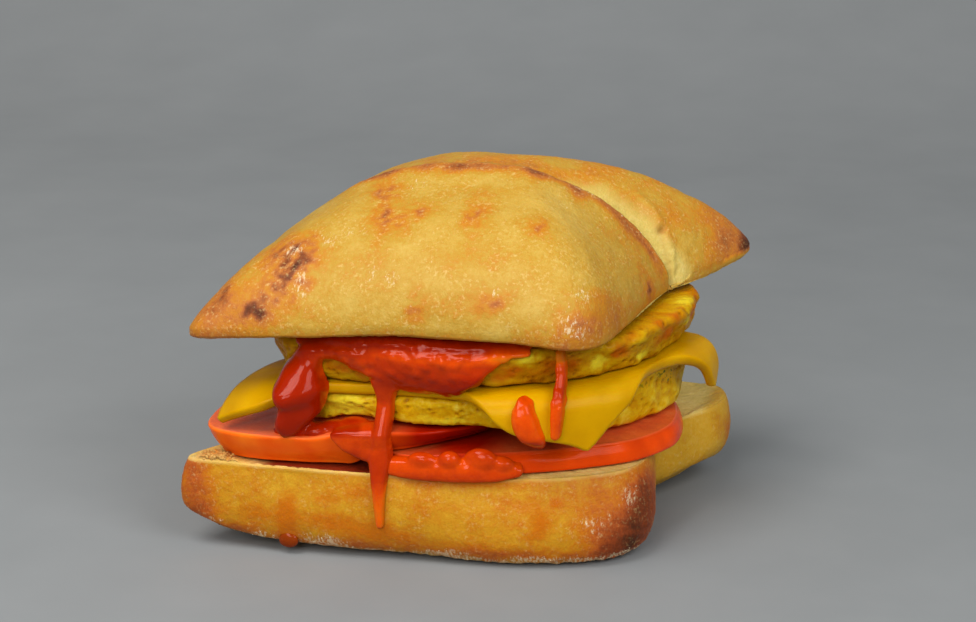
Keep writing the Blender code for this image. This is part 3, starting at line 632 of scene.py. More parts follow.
    def rows(self) -> list:
        """All rows round the crown: front, ear, back, cut face."""
        outline = curve_through(CROWN_FRONT + CROWN_BACK, closed=True)
        split = CURVE_STEPS * (len(CROWN_FRONT) - 1)
        front = spread(outline[: split + 1], self.sections)
        back = spread(outline[split:][::-1], self.sections)
        seam = spread(curve_through(SEAM, closed=False), self.sections, ease=0.7)
        ragged = Noise(self.jag_seed)
        along = np.column_stack((seam[:, 0], np.zeros((len(seam), 2))))
        torn = between(seam[:, 0], -34.0, -20.0, 38.0, 45.0)
        jag = sum(ragged.at(along, size) * weight for size, weight in self.jag_sizes) * torn
        found = self.half(front, seam, self.front_rows)
        for row, kind in found:
            if kind is Part.FRONT:
                out, _, _ = CROWN_OUTLINE.look(row[:, 0], row[:, 1])
                away = seam[:, 1] - row[:, 1]
                row[:, 2] += self.ear(row[:, 0], away) * smooth(0.0, 0.3, 1.0 - out)
                row[:, 2] += 0.5 * jag * hump(away, self.jag_width)
                row[:, 1] += jag * hump(away, self.jag_width)
        crest = np.column_stack((seam, self.dome(*seam.T)))
        crest[:, 2] += self.ear(crest[:, 0], 0.0) + 0.5 * jag
        crest[:, 1] += jag
        floor = np.column_stack((seam, self.dome(*seam.T)))
        floor[:, 1] += self.floor_back
        floor[:, 2] -= self.tear(floor[:, 0], 0.0)
        reach = self.ear_lip * smooth(*self.ear_start, seam[:, 0]) + self.least_lip
        found += self.lip(crest, floor, reach + 0.4 * jag)
        behind = self.half(back, seam, self.back_rows)
        for k, (row, kind) in enumerate(behind):
            if kind is Part.FRONT:
                away = row[:, 1] - seam[:, 1]
                row[:, 2] -= self.tear(row[:, 0], away)
                row[:, 2] = np.maximum(row[:, 2], np.interp(row[:, 0], back[:, 0], back[:, 2]))
                row[:, 1] += self.floor_back * hump(away, 2.0)
                behind[k] = (row, Part.BEHIND)
        found += behind[::-1]
        for share in np.linspace(self.cut_reach, -self.cut_reach, self.cut_rows):
            edge = back if share >= 0.0 else front
            plan = seam + (edge[:, :2] - seam) * abs(share)
            level = self.cut_face(plan[:, 0], plan[:, 1])
            found.append((np.column_stack((plan, level)), Part.CUT))
        return found

    def build(self) -> Piece:
        """Make the crown, its relief and the masks for its finish."""
        found = self.rows()
        stack = np.stack([row for row, _ in found], axis=1)
        kinds = np.array([kind.value for _, kind in found])
        left, right = stack[0].mean(axis=0), stack[-1].mean(axis=0)
        item = close_rings("crown_bread", stack[1:-1], left, right)
        kind = np.concatenate((np.tile(kinds, len(stack) - 2), (Part.RIM.value, Part.RIM.value)))
        self.dress(item, kind)
        return item

    def dress(self, item: Piece, kind: Array) -> None:
        """Raise the relief and store the masks.

        Args:
            item: The crown.
            kind: The part of the crown that each point belongs to.
        """
        p = points_of(item)
        x, y, z = p.T
        seam = curve_through(SEAM, closed=False)
        away = y - np.interp(x, seam[:, 0], seam[:, 1])
        noise, fine = Noise(self.seed), Noise(self.seed + 1)
        soft = noise.layers(p, 9.0, 3)
        wobble = p + 1.3 * np.column_stack((soft, noise.at(p + 50.0, 6.0), noise.at(p + 90.0, 6.0)))
        front, ear, behind = (part.on(kind) for part in (Part.FRONT, Part.EAR, Part.BEHIND))
        cut = Part.CUT.on(kind)
        crest = between(x, -36.0, -20.0, 40.0, 46.0)
        spots = 1.15 * marks_on(self.toasted, wobble) * (0.9 + 0.8 * noise.at(p + 70.0, 2.0))
        bake = 0.31 + 0.08 * soft + spots + marks_on(self.warmed, wobble)
        bake += 0.16 * smooth(-38.0, -56.0, x) + 0.04 * smooth(26.0, 40.0, x) * front
        patchy = noise.at(np.column_stack((x, away * 0.6, 0.0 * x)), 4.2)
        scorch = hump(away + 1.0, 2.6 + 1.4 * patchy)
        bake += (0.34 + 0.22 * patchy) * crest * scorch * (front + ear)
        crumb_width = 2.0 + 9.5 * smooth(8.0, 24.0, x) - 4.5 * smooth(36.0, 46.0, x)
        crumb = behind * smooth(9.0, 20.0, x) * smooth(1.0, 0.6, away / crumb_width + 0.12 * soft)
        band = behind * between(x, -34.0, -22.0, 10.0, 26.0)
        bake += (0.30 + 0.24 * noise.at(p + 12.0, 3.4)) * band * hump(away, 9.0)
        bake += 0.07 * behind
        bake += behind * (0.22 * smooth(48.0, 58.0, x) + 0.45 * smooth(57.0, 61.0, x))
        bake += 0.10 * (Part.RIM.on(kind) + cut)
        crumb = np.maximum(crumb, cut)
        patches = smooth(0.30, 0.85, noise.at(p + 31.0, 4.4)) * 0.5
        patches = patches + 0.10 * front * smooth(66.0, 56.0, z)
        patches += 0.9 * np.clip(spots, 0.0, 0.4) * smooth(0.0, 0.6, noise.at(p + 47.0, 2.6))
        edge = ear * smooth(12.0, 26.0, x)
        edge = edge + 0.4 * behind * smooth(44.0, 52.0, x) * smooth(64.0, 70.0, z)
        flour = (marks_on(self.floured, wobble) + patches + 0.5 * edge) * (1.0 - cut) * (1.0 - crumb)
        line = curve_through(self.fold, closed=False)
        beside = np.hypot(x[:, None] - line[:, 0], y[:, None] - line[:, 1]).min(axis=1)
        beside = np.where(behind > 0.0, beside, 99.0)
        fold = between(x, 34.0, 39.0, 45.0, 46.2)
        # Painted shade: the crumb hole and a line of crumb beside the fold are painted darker.
        hollow = self.hole.on(p) + 0.25 * hump(beside - 1.4, 0.5) * crumb * fold
        paint(item, hollow=hollow, bake=bake, crumb=crumb, flour=flour)
        streak = fine.at(p @ np.array(self.grain_way), (0.8, 2.4, 2.4))
        height = 0.30 * noise.layers(p + 5.0, 14.0, 2) + 0.10 * fine.at(p, 2.6) + 0.05 * streak
        height += 0.22 * np.clip(spots, 0.0, 0.4) * fine.at(p, 1.6)
        height += band * hump(away, 8.0) * 0.45 * fine.layers(p, 2.2, 2)
        height += 0.45 * fold * hump(beside, 1.1)
        height -= 0.3 * fold * hump(beside - 2.2, 1.0) * crumb
        height -= 1.8 * self.hole.on(p)
        pits = 0.55 - np.minimum(fine.cells(p, 1.5), 0.55)
        open_crumb = np.where(cut > 0.0, 1.1, 0.35)
        height -= crumb * (open_crumb * pits + 0.12 * fine.at(p, 4.0))
        raise_by(item, height * np.where(cut > 0.0, 0.6, 1.0))


@dataclass
class Heel:
    """The bottom half of the roll: crumb on top, crust round the side, a floury foot."""

    count: int = 640
    side_rows: int = 44
    face_rows: int = 26
    foot_rows: int = 10
    flat: float = 0.70
    face_turns: tuple = (0.03, 0.485)
    side_curve: float = 1.15
    foot_curve: float = 2.2
    face_z: float = CUT_Z - 0.15
    seed: int = 17
    toasted: tuple = marks(
        (44.4, -22, 10, 6.4, 9, 0.46), (43.6, -19, 16, 4, 4.6, 0.22), (39, -28, 5, 6, 4.4, 0.42),
        (35, -29, 12, 6, 8, 0.17), (-56.8, -36.6, 16, 4, 6, 0.22), (-53, -38, 10, 4.6, 3.6, 0.18),
        (-46, -39, 5, 6, 2.4, 0.18), (-20, -38, 3.4, 12, 1.2, 0.14), (12, -36, 3.6, 14, 1.4, 0.2),
        (58, 30, 14, 4, 7, 0.28),
    )
    floured: tuple = marks(
        (34.6, -30.4, 10.6, 3.8, 3.2, 0.82), (41.4, -25.2, 15.4, 3, 3.8, 0.78),
        (-40, -38, 3.4, 7, 1.6, 0.9), (-25, -37.6, 3.8, 7, 2.2, 1.1), (2, -36.6, 2.8, 6, 2, 1),
        (24, -34.8, 2, 8, 2, 1), (-51, -37.6, 7.4, 4, 2, 0.6),
    )
    stained: tuple = marks(
        (-33.8, -38.5, 10, 2.2, 7, 0.85), (-34, -38.5, 3.8, 2.8, 2.4, 0.85),
        (-25, -38.3, 14.6, 3.6, 2, 0.55), (-18, -38, 16.6, 4.6, 2.2, 0.5),
        (23.2, -35.2, 12, 2.6, 4.2, 0.8), (20, -35.2, 16, 2.4, 1.8, 0.4), (21, -36, 8, 3, 2, 0.4),
        (26.6, -33.2, 16, 1.4, 1.4, 0.8), (6, -36, 19.9, 16, 1.5, 0.85), (-41, -38.5, 10, 6, 2.6, 0.62),
        (-24, -38.6, 9, 8, 2.6, 0.66), (-13, -38.4, 7, 8, 2.4, 0.6), (3, -38, 5.4, 10, 2, 0.5),
        (-12.6, -38, 12, 3, 7, 0.4), (-3, -37.6, 14.6, 4, 2.4, 0.36),
    )
    # Ketchup soaked into the cut face, and painted shade in the gap under the left tomato slice.
    juicy: tuple = marks(
        (-18, -34, CUT_Z, 12, 4, 1.3), (-36, -34.5, CUT_Z, 8, 4, 0.5), (-48, -31, CUT_Z, 4, 4, 0.5),
    )
    crag: Mark = Mark(-51.0, -36.0, CUT_Z, 5.4, 4.0, 1.1)
    # Painted light: a pale mark on the back lobe's seam face, which lies in shade; it is added to the
    # flour mask.
    pale: Mark = Mark(45.8, 10.0, 9.0, 3.4, 7.0, 0.35)

    def build(self) -> Piece:
        """Make the heel, its relief and the masks for its finish."""
        ring = ring_through(HEEL, self.count)
        plan, bulge, inset, foot = ring[:, :2], ring[:, 2], ring[:, 3], ring[:, 4]
        out = plan / np.linalg.norm(plan, axis=1, keepdims=True)
        rings = []
        rows = (self.face_rows, self.side_rows, self.foot_rows - 1)
        kinds = np.repeat([part.value for part in (Part.CUT, Part.FRONT, Part.RIM)], rows)
        for share in np.sin(np.linspace(*self.face_turns, self.face_rows) * math.pi):
            rings.append(np.column_stack((plan * share, np.full(self.count, self.face_z))))
        for t in np.linspace(0.0, 1.0, self.side_rows):
            reach = bulge * math.sin(math.pi * t) - inset * t ** 3
            level = CUT_Z - (CUT_Z - foot) * math.sin(t * math.pi / 2.0) ** self.side_curve
            rings.append(np.column_stack((plan + out * reach[:, None], level)))
        last = rings[-1]
        for share in np.linspace(1.0, self.flat, self.foot_rows)[1:]:
            left = ((share - self.flat) / (1.0 - self.flat)) ** self.foot_curve
            rings.append(np.column_stack((last[:, :2] * share, foot * left)))
        item = close_rings("heel_bread", np.array(rings), (0.0, 0.0, self.face_z), (0.0, 0.0, 0.0))
        kind = np.concatenate((np.repeat(kinds, self.count), (Part.CUT.value, Part.RIM.value)))
        self.dress(item, kind)
        return item

    def dress(self, item: Piece, kind: Array) -> None:
        """Raise the relief and store the masks.

        Args:
            item: The heel.
            kind: The part of the heel that each point belongs to.
        """
        p = points_of(item)
        x, y, z = p.T
        noise, fine = Noise(self.seed), Noise(self.seed + 1)
        soft = noise.layers(p, 9.0, 3)
        wobble = p + 1.4 * np.column_stack((soft, noise.at(p + 50.0, 6.0), noise.at(p + 90.0, 5.0)))
        cut, side = Part.CUT.on(kind), Part.FRONT.on(kind)
        spots = marks_on(self.toasted, wobble)
        bake = 0.35 + 0.07 * soft + spots + 0.08 * smooth(8.0, 3.0, z) * side
        # The second term pales the back lobe: partly a lighter bake, partly painted light on a lobe
        # that lies in shade.
        bake += 0.14 * smooth(-48.0, -58.0, x) - 0.16 * smooth(-6.0, 10.0, y) * smooth(38.0, 46.0, x)
        bake += 0.10 * smooth(0.2, 0.9, noise.at(p * np.array((0.4, 0.4, 1.0)) + 3.0, 3.0)) * side
        crag = self.crag.on(p) * cut
        crumb = np.maximum(cut, 0.6 * smooth(20.3, 20.8, z + 0.3 * soft) * side)
        crumb *= 1.0 - 0.8 * np.minimum(crag, 1.0)
        crumb *= 1.0 - 0.85 * smooth(51.0, 54.0, x + 0.5 * soft)
        bake += 0.16 * crag
        # Dark red on the front of the cut face: soaked-in ketchup and painted shade of the gap under
        # the slice.
        juice = marks_on(self.juicy, p) * cut * smooth(-37.2, -36.2, y + 0.6 * soft)
        low = smooth(3.6, 1.3, z + 0.8 * soft)
        flour = marks_on(self.floured, wobble) + low * (1.3 + 0.6 * noise.at(p, 5.0))
        # The pale mark adds painted light to the flour mask.
        flour += 0.16 * smooth(0.1, 0.8, noise.at(p + 31.0, 4.0)) + self.pale.on(p)
        stain = marks_on(self.stained, p + 0.7 * (wobble - p)) * side
        paint(item, juice=juice, crag=crag * (y > -38.5), bake=bake, crumb=crumb,
              flour=flour * (1.0 - crumb), stain=stain)
        streak = fine.at(p, (1.6, 1.6, 1.0))
        height = 0.32 * noise.layers(p + 5.0, 15.0, 2) + 0.09 * fine.at(p, 2.4) + 0.05 * streak
        height += 0.5 * np.clip(spots, 0.0, 0.5) * fine.layers(p, 1.3, 2)
        height += 0.25 * low * fine.layers(p, 1.6, 2) * side
        pits = 0.5 - np.minimum(fine.cells(p, 1.5), 0.5)
        share, _, _ = Outline(HEEL, (0.0, 0.0)).look(x, y)
        open_crumb = (-0.9 * pits - 0.05 * (1.0 + fine.at(p, 3.0))) * smooth(1.0, 0.97, share)
        height = np.where(cut > 0.0, open_crumb, height * smooth(CUT_Z, CUT_Z - 1.6, z))
        height += crag * (1.1 + 1.2 * fine.layers(p, 1.8, 2)) * smooth(-32.0, -34.0, y)
        height += 0.9 * cut * hump(share - 0.97, 0.045) * smooth(47.0, 52.0, x)
        height *= np.where(kind == Part.RIM.value, smooth(0.0, 2.0, z), 1.0)
        raise_by(item, height)
        settled = points_of(item)
        settled[:, 2] = np.maximum(settled[:, 2], 0.0)
        move_points(item, settled)


FACE_FROM = 0.05
FACE_TO = 0.97
BEND_TURN = 0.3


@dataclass
class Disc:
    """A flat food: a tomato slice or an egg patty."""

    name: str
    outline: tuple
    middle: tuple
    under: Heights
    over: Heights
    slant: float
    soft: float
    count: int = 430
    face_rows: int = 13
    side_rows: int = 14
    bend_rows: int = 6

    def base(self) -> tuple[Piece, Array]:
        """Make the disc's closed form.

        Returns:
            The piece, and at each point how far round the rim it lies: 0 on
            the lower face, 1 on the upper face, between the two on the rim.
        """
        plan = ring_through(self.outline, self.count)
        middle = np.array(self.middle)
        offset = plan - middle
        out = offset / np.linalg.norm(offset, axis=1, keepdims=True)
        rings = []
        turns = [0.0] * self.face_rows
        for share in np.linspace(FACE_FROM, FACE_TO, self.face_rows):
            face = middle + (plan - out * (self.soft + self.slant) - middle) * share
            rings.append(np.column_stack((face, self.under(*face.T))))
        low, high = [], []
        for bend in np.linspace(0.0, 0.5, self.bend_rows) * math.pi:
            back = self.soft * (1.0 - math.sin(bend))
            lift = self.soft * (1.0 - math.cos(bend))
            side = plan - out * (back + self.slant)
            low.append(np.column_stack((side, self.under(*side.T) + lift)))
            side = plan - out * back
            high.append(np.column_stack((side, self.over(*side.T) - lift)))
        rings += low
        bends = [BEND_TURN * k / self.bend_rows for k in range(1, self.bend_rows + 1)]
        turns += bends
        for t in np.linspace(0.0, 1.0, self.side_rows)[1:-1]:
            rings.append(low[-1] + (high[-1] - low[-1]) * t)
            turns.append(BEND_TURN + (1.0 - 2.0 * BEND_TURN) * t)
        rings += high[::-1]
        turns += [1.0 - turn for turn in bends[::-1]]
        for share in np.linspace(FACE_TO, FACE_FROM, self.face_rows):
            face = middle + (plan - out * self.soft - middle) * share
            rings.append(np.column_stack((face, self.over(*face.T))))
        turns += [1.0] * self.face_rows
        first = (*middle, float(self.under(*middle)))
        last = (*middle, float(self.over(*middle)))
        item = close_rings(self.name, np.array(rings), first, last)
        return item, np.concatenate((np.repeat(turns, self.count), (0.0, 1.0)))


@dataclass
class TomatoSlice(Disc):
    """A slice of tomato: taut skin round the rim, moist flesh on its faces, painted shade where its
    shaded mark lies.
    """

    seed: int = 0
    ripe: float = 0.5
    # Painted shade: where this mark is strong the flesh is painted dark red.
    shaded: Mark = Mark(0.0, 0.0, 0.0, 1.0, 1.0, 0.0)

    def build(self) -> Piece:
        """Make the slice, its relief and the masks for its finish."""
        item, turn = self.base()
        p = points_of(item)
        noise = Noise(self.seed)
        skin = between(turn, 0.02, 0.16, 0.84, 0.98)
        middle = np.array(self.middle)
        angle = np.arctan2(p[:, 1] - middle[1], p[:, 0] - middle[0])
        out = np.hypot(p[:, 0] - middle[0], p[:, 1] - middle[1])
        rib = noise.at(np.column_stack((np.cos(angle) * 9.0, np.sin(angle) * 9.0, p[:, 2] * 0.1)), 1.0)
        paint(item, skin=skin, rib=0.5 + 0.5 * rib, ripe=np.full(len(p), self.ripe),
              # deep carries the painted shade of the shaded mark.
              deep=self.shaded.on(p), turn=turn)
        up_side = np.clip((turn - BEND_TURN) / (1.0 - 2.0 * BEND_TURN), 0.0, 1.0)
        bulge = 0.35 * np.sin(up_side * math.pi) * skin
        height = bulge + 0.22 * noise.at(p, 11.0) * skin + 0.05 * noise.at(p, 2.4)
        seeds = noise.at(np.column_stack((angle * 20.0, out * 0.3, p[:, 2])), 1.5)
        height += (1.0 - skin) * -0.10 * (1.0 + seeds)
        raise_by(item, height)
        return item


@dataclass
class EggPatty(Disc):
    """An egg patty: soft, full of small holes, browned where it met the pan."""

    seed: int = 0
    lump: float = 0.35
    browned: tuple = ()
    fresh: tuple = ()
    herbs: tuple = ()

    def build(self) -> Piece:
        """Make the patty, its relief and the masks for its finish."""
        item, turn = self.base()
        p = points_of(item)
        noise, fine = Noise(self.seed), Noise(self.seed + 1)
        rim = between(turn, 0.0, 0.2, 0.8, 1.0)
        lumps = noise.layers(p, 6.5, 2) + 0.5 * fine.at(p, 3.0)
        pits = np.maximum(0.42 - fine.cells(p * np.array((1.0, 1.0, 1.25)), 2.1), 0.0)
        small = np.maximum(0.40 - noise.cells(p, 1.15), 0.0)
        fold = noise.at(p * np.array((0.35, 0.35, 1.0)) + 7.0, 3.4)
        wobble = p + 1.2 * np.column_stack((lumps, noise.at(p + 9.0, 5.0), fine.at(p + 3.0, 5.0)))
        # Paler yellow patches of less cooked egg; on the lower patty they are also painted light on its
        # shaded front.
        raw = marks_on(self.fresh, wobble)
        brown = marks_on(self.browned, wobble) * (0.75 + 0.5 * noise.at(p, 3.0)) - raw
        # The pit mask paints shade into the pits.
        paint(item, brown=brown, fresh=raw, herb=marks_on(self.herbs, p),
              pit=2.2 * pits + 0.8 * small, lump=0.5 + 0.35 * lumps)
        height = self.lump * (1.15 * lumps + 0.25 * fold) - 1.5 * pits - 0.45 * small
        raise_by(item, height * (0.15 + 0.85 * rim))
        return item


@dataclass
class CheeseSlice:
    """One square slice of processed cheese, draped over the lower patty."""

    across: int = 124
    corners: tuple = (
        (-52.4, -37.4, 60.0, 20.0), (38.6, -39.4, 82.0, 3.2), (62.0, 3.6, 88.0, 4.6),
        (-8.0, 36.0, 10.0, 4.0),
    )
    front_back: float = 5.5
    front_forward: float = 2.2
    right_in: float = 8.0
    right_way: tuple = (-0.6, 0.8)
    seed: int = 51
    edge_rows: int = 5
    blend_along: tuple = (0.25, 0.75)
    blend_back: tuple = (0.2, 0.8)
    corner_round: float = 0.03
    edge_round: float = 0.45

    def blend(self, a: Array, b: Array, column: int) -> Array:
        """Blend one value of the four corners across the slice."""
        left, front, right, back = (corner[column] for corner in self.corners)
        along = smooth(*self.blend_along, a)
        near = left + (front - left) * along
        far = back + (right - back) * along
        return near + (far - near) * smooth(*self.blend_back, b)

    def drape(self, a: Array, b: Array) -> Array:
        """Lower face of the slice.

        Args:
            a: Share of the way along the front edge.
            b: Share of the way from the front edge to the back one.

        Returns:
            The points, one for each pair of shares.
        """
        left, front, right, back = (np.array(corner[:2]) for corner in self.corners)
        near = left + (front - left) * a[..., None]
        far = back + (right - back) * a[..., None]
        flat = near + (far - near) * b[..., None]
        rearward = self.front_back * between(a, 0.12, 0.32, 0.62, 0.80)
        forward = self.front_forward * between(a, 0.5, 0.7, 0.8, 0.98)
        flat[..., 1] += (rearward - forward) * (1.0 - b) ** 2
        inwards = self.right_in * np.sin(math.pi * b) * a ** 2
        flat += inwards[..., None] * np.array(self.right_way)
        corner = np.abs((2.0 * a - 1.0) * (2.0 * b - 1.0)) ** 8
        centre = (left + front + right + back) / 4.0
        flat += (centre - flat) * (self.corner_round * corner)[..., None]
        out, radius, _ = SHELF_OUTLINE.look(flat[..., 0], flat[..., 1])
        way = flat - SHELF_OUTLINE.middle
        way /= np.maximum(np.linalg.norm(way, axis=-1, keepdims=True), TINY)
        past = np.maximum((out - 1.0) * radius + 1.0, 0.0)
        steep = np.radians(self.blend(a, b, 2))
        round_off = self.blend(a, b, 3)
        bend = np.minimum(past / round_off, steep)
        straight = past - bend * round_off
        reach = round_off * np.sin(bend) + straight * np.cos(bend)
        fall = round_off * (1.0 - np.cos(bend)) + straight * np.sin(bend)
        plan = flat - way * (past - reach)[..., None]
        level = cheese_under(plan[..., 0], plan[..., 1]) - fall
        return np.concatenate((plan, level[..., None]), axis=-1)

    def build(self) -> Piece:
        """Make the slice with rounded edges and its soft unevenness."""
        count = self.across + 1
        share = np.linspace(0.0, 1.0, count)
        a, b = np.meshgrid(share, share, indexing="ij")
        under = self.drape(a, b)
        normal = np.cross(np.gradient(under, axis=0), np.gradient(under, axis=1))
        normal /= np.linalg.norm(normal, axis=-1, keepdims=True)
        over = under + normal * CHEESE_THICK
        grid = np.arange(count * count).reshape(count, count)
        faces = []
        for base, turn in ((0, 1), (count * count, -1)):
            g = grid + base
            quads = np.stack((g[:-1, :-1], g[:-1, 1:], g[1:, 1:], g[1:, :-1]), axis=-1)
            faces += quads.reshape(-1, 4)[:, ::turn].tolist()
        loop = np.concatenate((grid[:-1, 0], grid[-1, :-1], grid[:0:-1, -1], grid[0, :0:-1]))
        inner = np.concatenate((grid[:-1, 1], grid[-2, :-1], grid[:0:-1, -2], grid[1, :0:-1]))
        low, high = under.reshape(-1, 3), over.reshape(-1, 3)
        out = low[loop] - low[inner]
        out /= np.maximum(np.linalg.norm(out, axis=1, keepdims=True), TINY)
        points = [low, high]
        rows = [loop]
        for t in np.linspace(0.0, 1.0, self.edge_rows + 1)[1:-1]:
            bulge = out * self.edge_round * math.sin(math.pi * t) ** 0.6
            points.append(low[loop] + (high[loop] - low[loop]) * t + bulge)
            rows.append(2 * count * count + (len(rows) - 1) * len(loop) + np.arange(len(loop)))
        rows.append(loop + count * count)
        for start, end in zip(rows, rows[1:]):
            quads = np.column_stack((start, end, np.roll(end, -1), np.roll(start, -1)))
            faces += quads.tolist()
        item = place_mesh("cheese_slice", np.concatenate(points), faces)
        p = points_of(item)
        noise = Noise(self.seed)
        height = 0.16 * noise.at(p, 13.0) + 0.07 * noise.at(p, 4.5) + 0.03 * noise.at(p, 1.6)
        raise_by(item, height)
        paint(item, soft=0.5 + 0.5 * noise.layers(p, 9.0, 2))
        return item


class Reach:
    """How far forward the food reaches at each x and z."""

    WIDE = (-60.0, 63.0)
    HIGH = (0.0, 58.0)
    FAR_FRONT = -90.0

    def __init__(self, items: Sequence[Piece], stop: float = -26.0) -> None:
        """Look at the pieces from the front.

        Args:
            items: The pieces that the sauce lies on.
            stop: The reach where nothing stands so far forward.
        """
        self.x, self.z = np.arange(*self.WIDE), np.arange(*self.HIGH)
        found = np.full((len(self.x), len(self.z)), stop)
        for item in items:
            faces = [tuple(face.vertices) for face in item.data.polygons]
            tree = BVHTree.FromPolygons(points_of(item).tolist(), faces)
            for i, x in enumerate(self.x):
                for k, z in enumerate(self.z):
                    eye = Vector((x, self.FAR_FRONT, z))
                    hit = tree.ray_cast(eye, Vector((0.0, 1.0, 0.0)))[0]
                    if hit is not None:
                        found[i, k] = min(found[i, k], hit.y)
        self.near = self.mean(found, 1, 1)
        for axis, cells in ((0, 2), (1, 3)):
            found = self.window(found, axis, cells).min(axis=0)
        self.level = self.mean(found, 2, 3)

    @staticmethod
    def window(values: Array, axis: int, cells: int) -> Array:
        """Stack copies of a grid shifted by up to a number of cells."""
        width = [(0, 0), (0, 0)]
        width[axis] = (cells, cells)
        padded = np.pad(values, width, mode="edge")
        length = values.shape[axis]
        return np.stack([np.take(padded, range(k, k + length), axis) for k in range(2 * cells + 1)])

    def mean(self, values: Array, across: int, high: int) -> Array:
        """Average a grid over its neighbours."""
        for axis, cells in ((0, across), (1, high)):
            values = self.window(values, axis, cells).mean(axis=0)
        return values

    def at(self, grid: Array, x: Array, z: Array) -> Array:
        """Read a grid between its places.

        Args:
            grid: The near or the level grid.
            x: Places along the roll.
            z: Heights.

        Returns:
            The reach at each place.
        """
        u = np.clip(np.asarray(x, float) - self.x[0], 0.0, len(self.x) - 1.001)
        v = np.clip(np.asarray(z, float) - self.z[0], 0.0, len(self.z) - 1.001)
        i, k = u.astype(int), v.astype(int)
        u, v = u - i, v - k
        low = grid[i, k] * (1.0 - u) + grid[i + 1, k] * u
        high = grid[i, k + 1] * (1.0 - u) + grid[i + 1, k + 1] * u
        return low * (1.0 - v) + high * v


@dataclass(frozen=True)
class Run:
    """A run of sauce: points of x, z, half width and thickness from end to end."""

    points: tuple
    lift: float = 0.0
    wave: float = 0.0
    across: int = 26
    rows_per_mm: float = 3.0
    least_rows: int = 24
    wave_size: float = 3.2
    fullness: float = 0.85
    edge_power: int = 10
    thinnest: float = 0.05
    end_reach: float = 0.6
    end_thick: float = 0.3
    deepest: float = 2.2
    sunk: float = 0.1
    seed: int = 60

    def build(self, name: str, reach: Reach) -> Piece:
        """Lay the run against the food.

        Args:
            name: Name of the piece.
            reach: How far forward the food reaches.

        Returns:
            The run, closed all round.
        """
        dense = curve_through(self.points, closed=False)
        length = np.linalg.norm(np.diff(dense[:, :2], axis=0), axis=1).sum()
        path = spread(dense, max(self.least_rows, int(length * self.rows_per_mm)))
        course = path[:, :2]
        way = np.gradient(course, axis=0)
        way /= np.maximum(np.linalg.norm(way, axis=1, keepdims=True), TINY)
        noise = Noise(len(self.points) + self.seed)
        share = -np.cos(np.linspace(0.0, math.pi, self.across + 1))
        loops = []
        for spot, heading, half, thick in zip(course, way, path[:, 2], path[:, 3]):
            here = np.array([[spot[0], 0.0, spot[1]]])
            half = half * (1.0 + self.wave * noise.at(here, self.wave_size)[0])
            x = spot[0] - heading[1] * half * share
            z = spot[1] + heading[0] * half * share
            level = reach.at(reach.level, x, z) - GAP - self.lift
            inner = np.minimum(reach.at(reach.near, x, z) + self.sunk, level + self.deepest)
            round_off = np.sqrt(np.clip(1.0 - share * share, 0.0, 1.0)) ** self.fullness
            outer = level - thick * round_off
            edge = np.abs(share) ** self.edge_power
            outer = outer + (inner - outer) * edge
            face = np.column_stack((x, outer, z))
            rear = np.column_stack((x, np.maximum(inner, outer + self.thinnest), z))[-2:0:-1]
            loops.append(np.concatenate((face, rear)))
        ends = []
        for k, sign in ((0, -1.0), (-1, 1.0)):
            x, z = course[k] + sign * way[k] * path[k, 2] * self.end_reach
            level = float(reach.at(reach.level, x, z)) - GAP
            ends.append((x, level - path[k, 3] * self.end_thick, z))
        return close_rings(name, np.array(loops), ends[0], ends[1])


BALL_SIDES = 28
BALL_ROWS = 15


def ball(name: str, middle: Sequence, size: Sequence) -> Piece:
    """Make an egg-shaped blob.

    Args:
        name: Name of the piece.
        middle: Its middle.
        size: Its three half sizes.

    Returns:
        The blob, closed all round.
    """
    loops = []
    around = np.linspace(0.0, 2.0 * math.pi, BALL_SIDES + 1)[:-1]
    for tilt in np.linspace(0.0, math.pi, BALL_ROWS + 1)[1:-1]:
        flat = math.sin(tilt)
        level = np.full(BALL_SIDES, math.cos(tilt))
        ring = np.column_stack((np.cos(around) * flat, np.sin(around) * flat, level))
        loops.append(np.array(middle) + ring * size)
    up = np.array((0.0, 0.0, size[2]))
    return close_rings(name, np.array(loops), np.array(middle) + up, np.array(middle) - up)


def melt(name: str, pieces: Sequence[Piece], grain: float, passes: int) -> Piece:
    """Run overlapping pieces of sauce together into one smooth body.

    Args:
        name: Name of the joined piece.
        pieces: The closed pieces.
        grain: Size of the grid that they are remeshed on, in millimetres.
        passes: How often the surface is smoothed.

    Returns:
        The joined piece; the others are gone.
    """
    form = bmesh.new()
    for item in pieces:
        form.from_mesh(item.data)
        bpy.data.objects.remove(item, do_unlink=True)
    data = bpy.data.meshes.new(name)
    form.to_mesh(data)
    form.free()
    item = show(name, data)
    remesh = item.modifiers.new("melt", "REMESH")
    remesh.mode = "VOXEL"
    remesh.voxel_size = grain * MM
    relax = item.modifiers.new("relax", "SMOOTH")
    relax.factor = 0.5
    relax.iterations = passes
    item.data = solved(item)
    item.modifiers.clear()
    item.data.name = name
    item.data.shade_smooth()
    return item


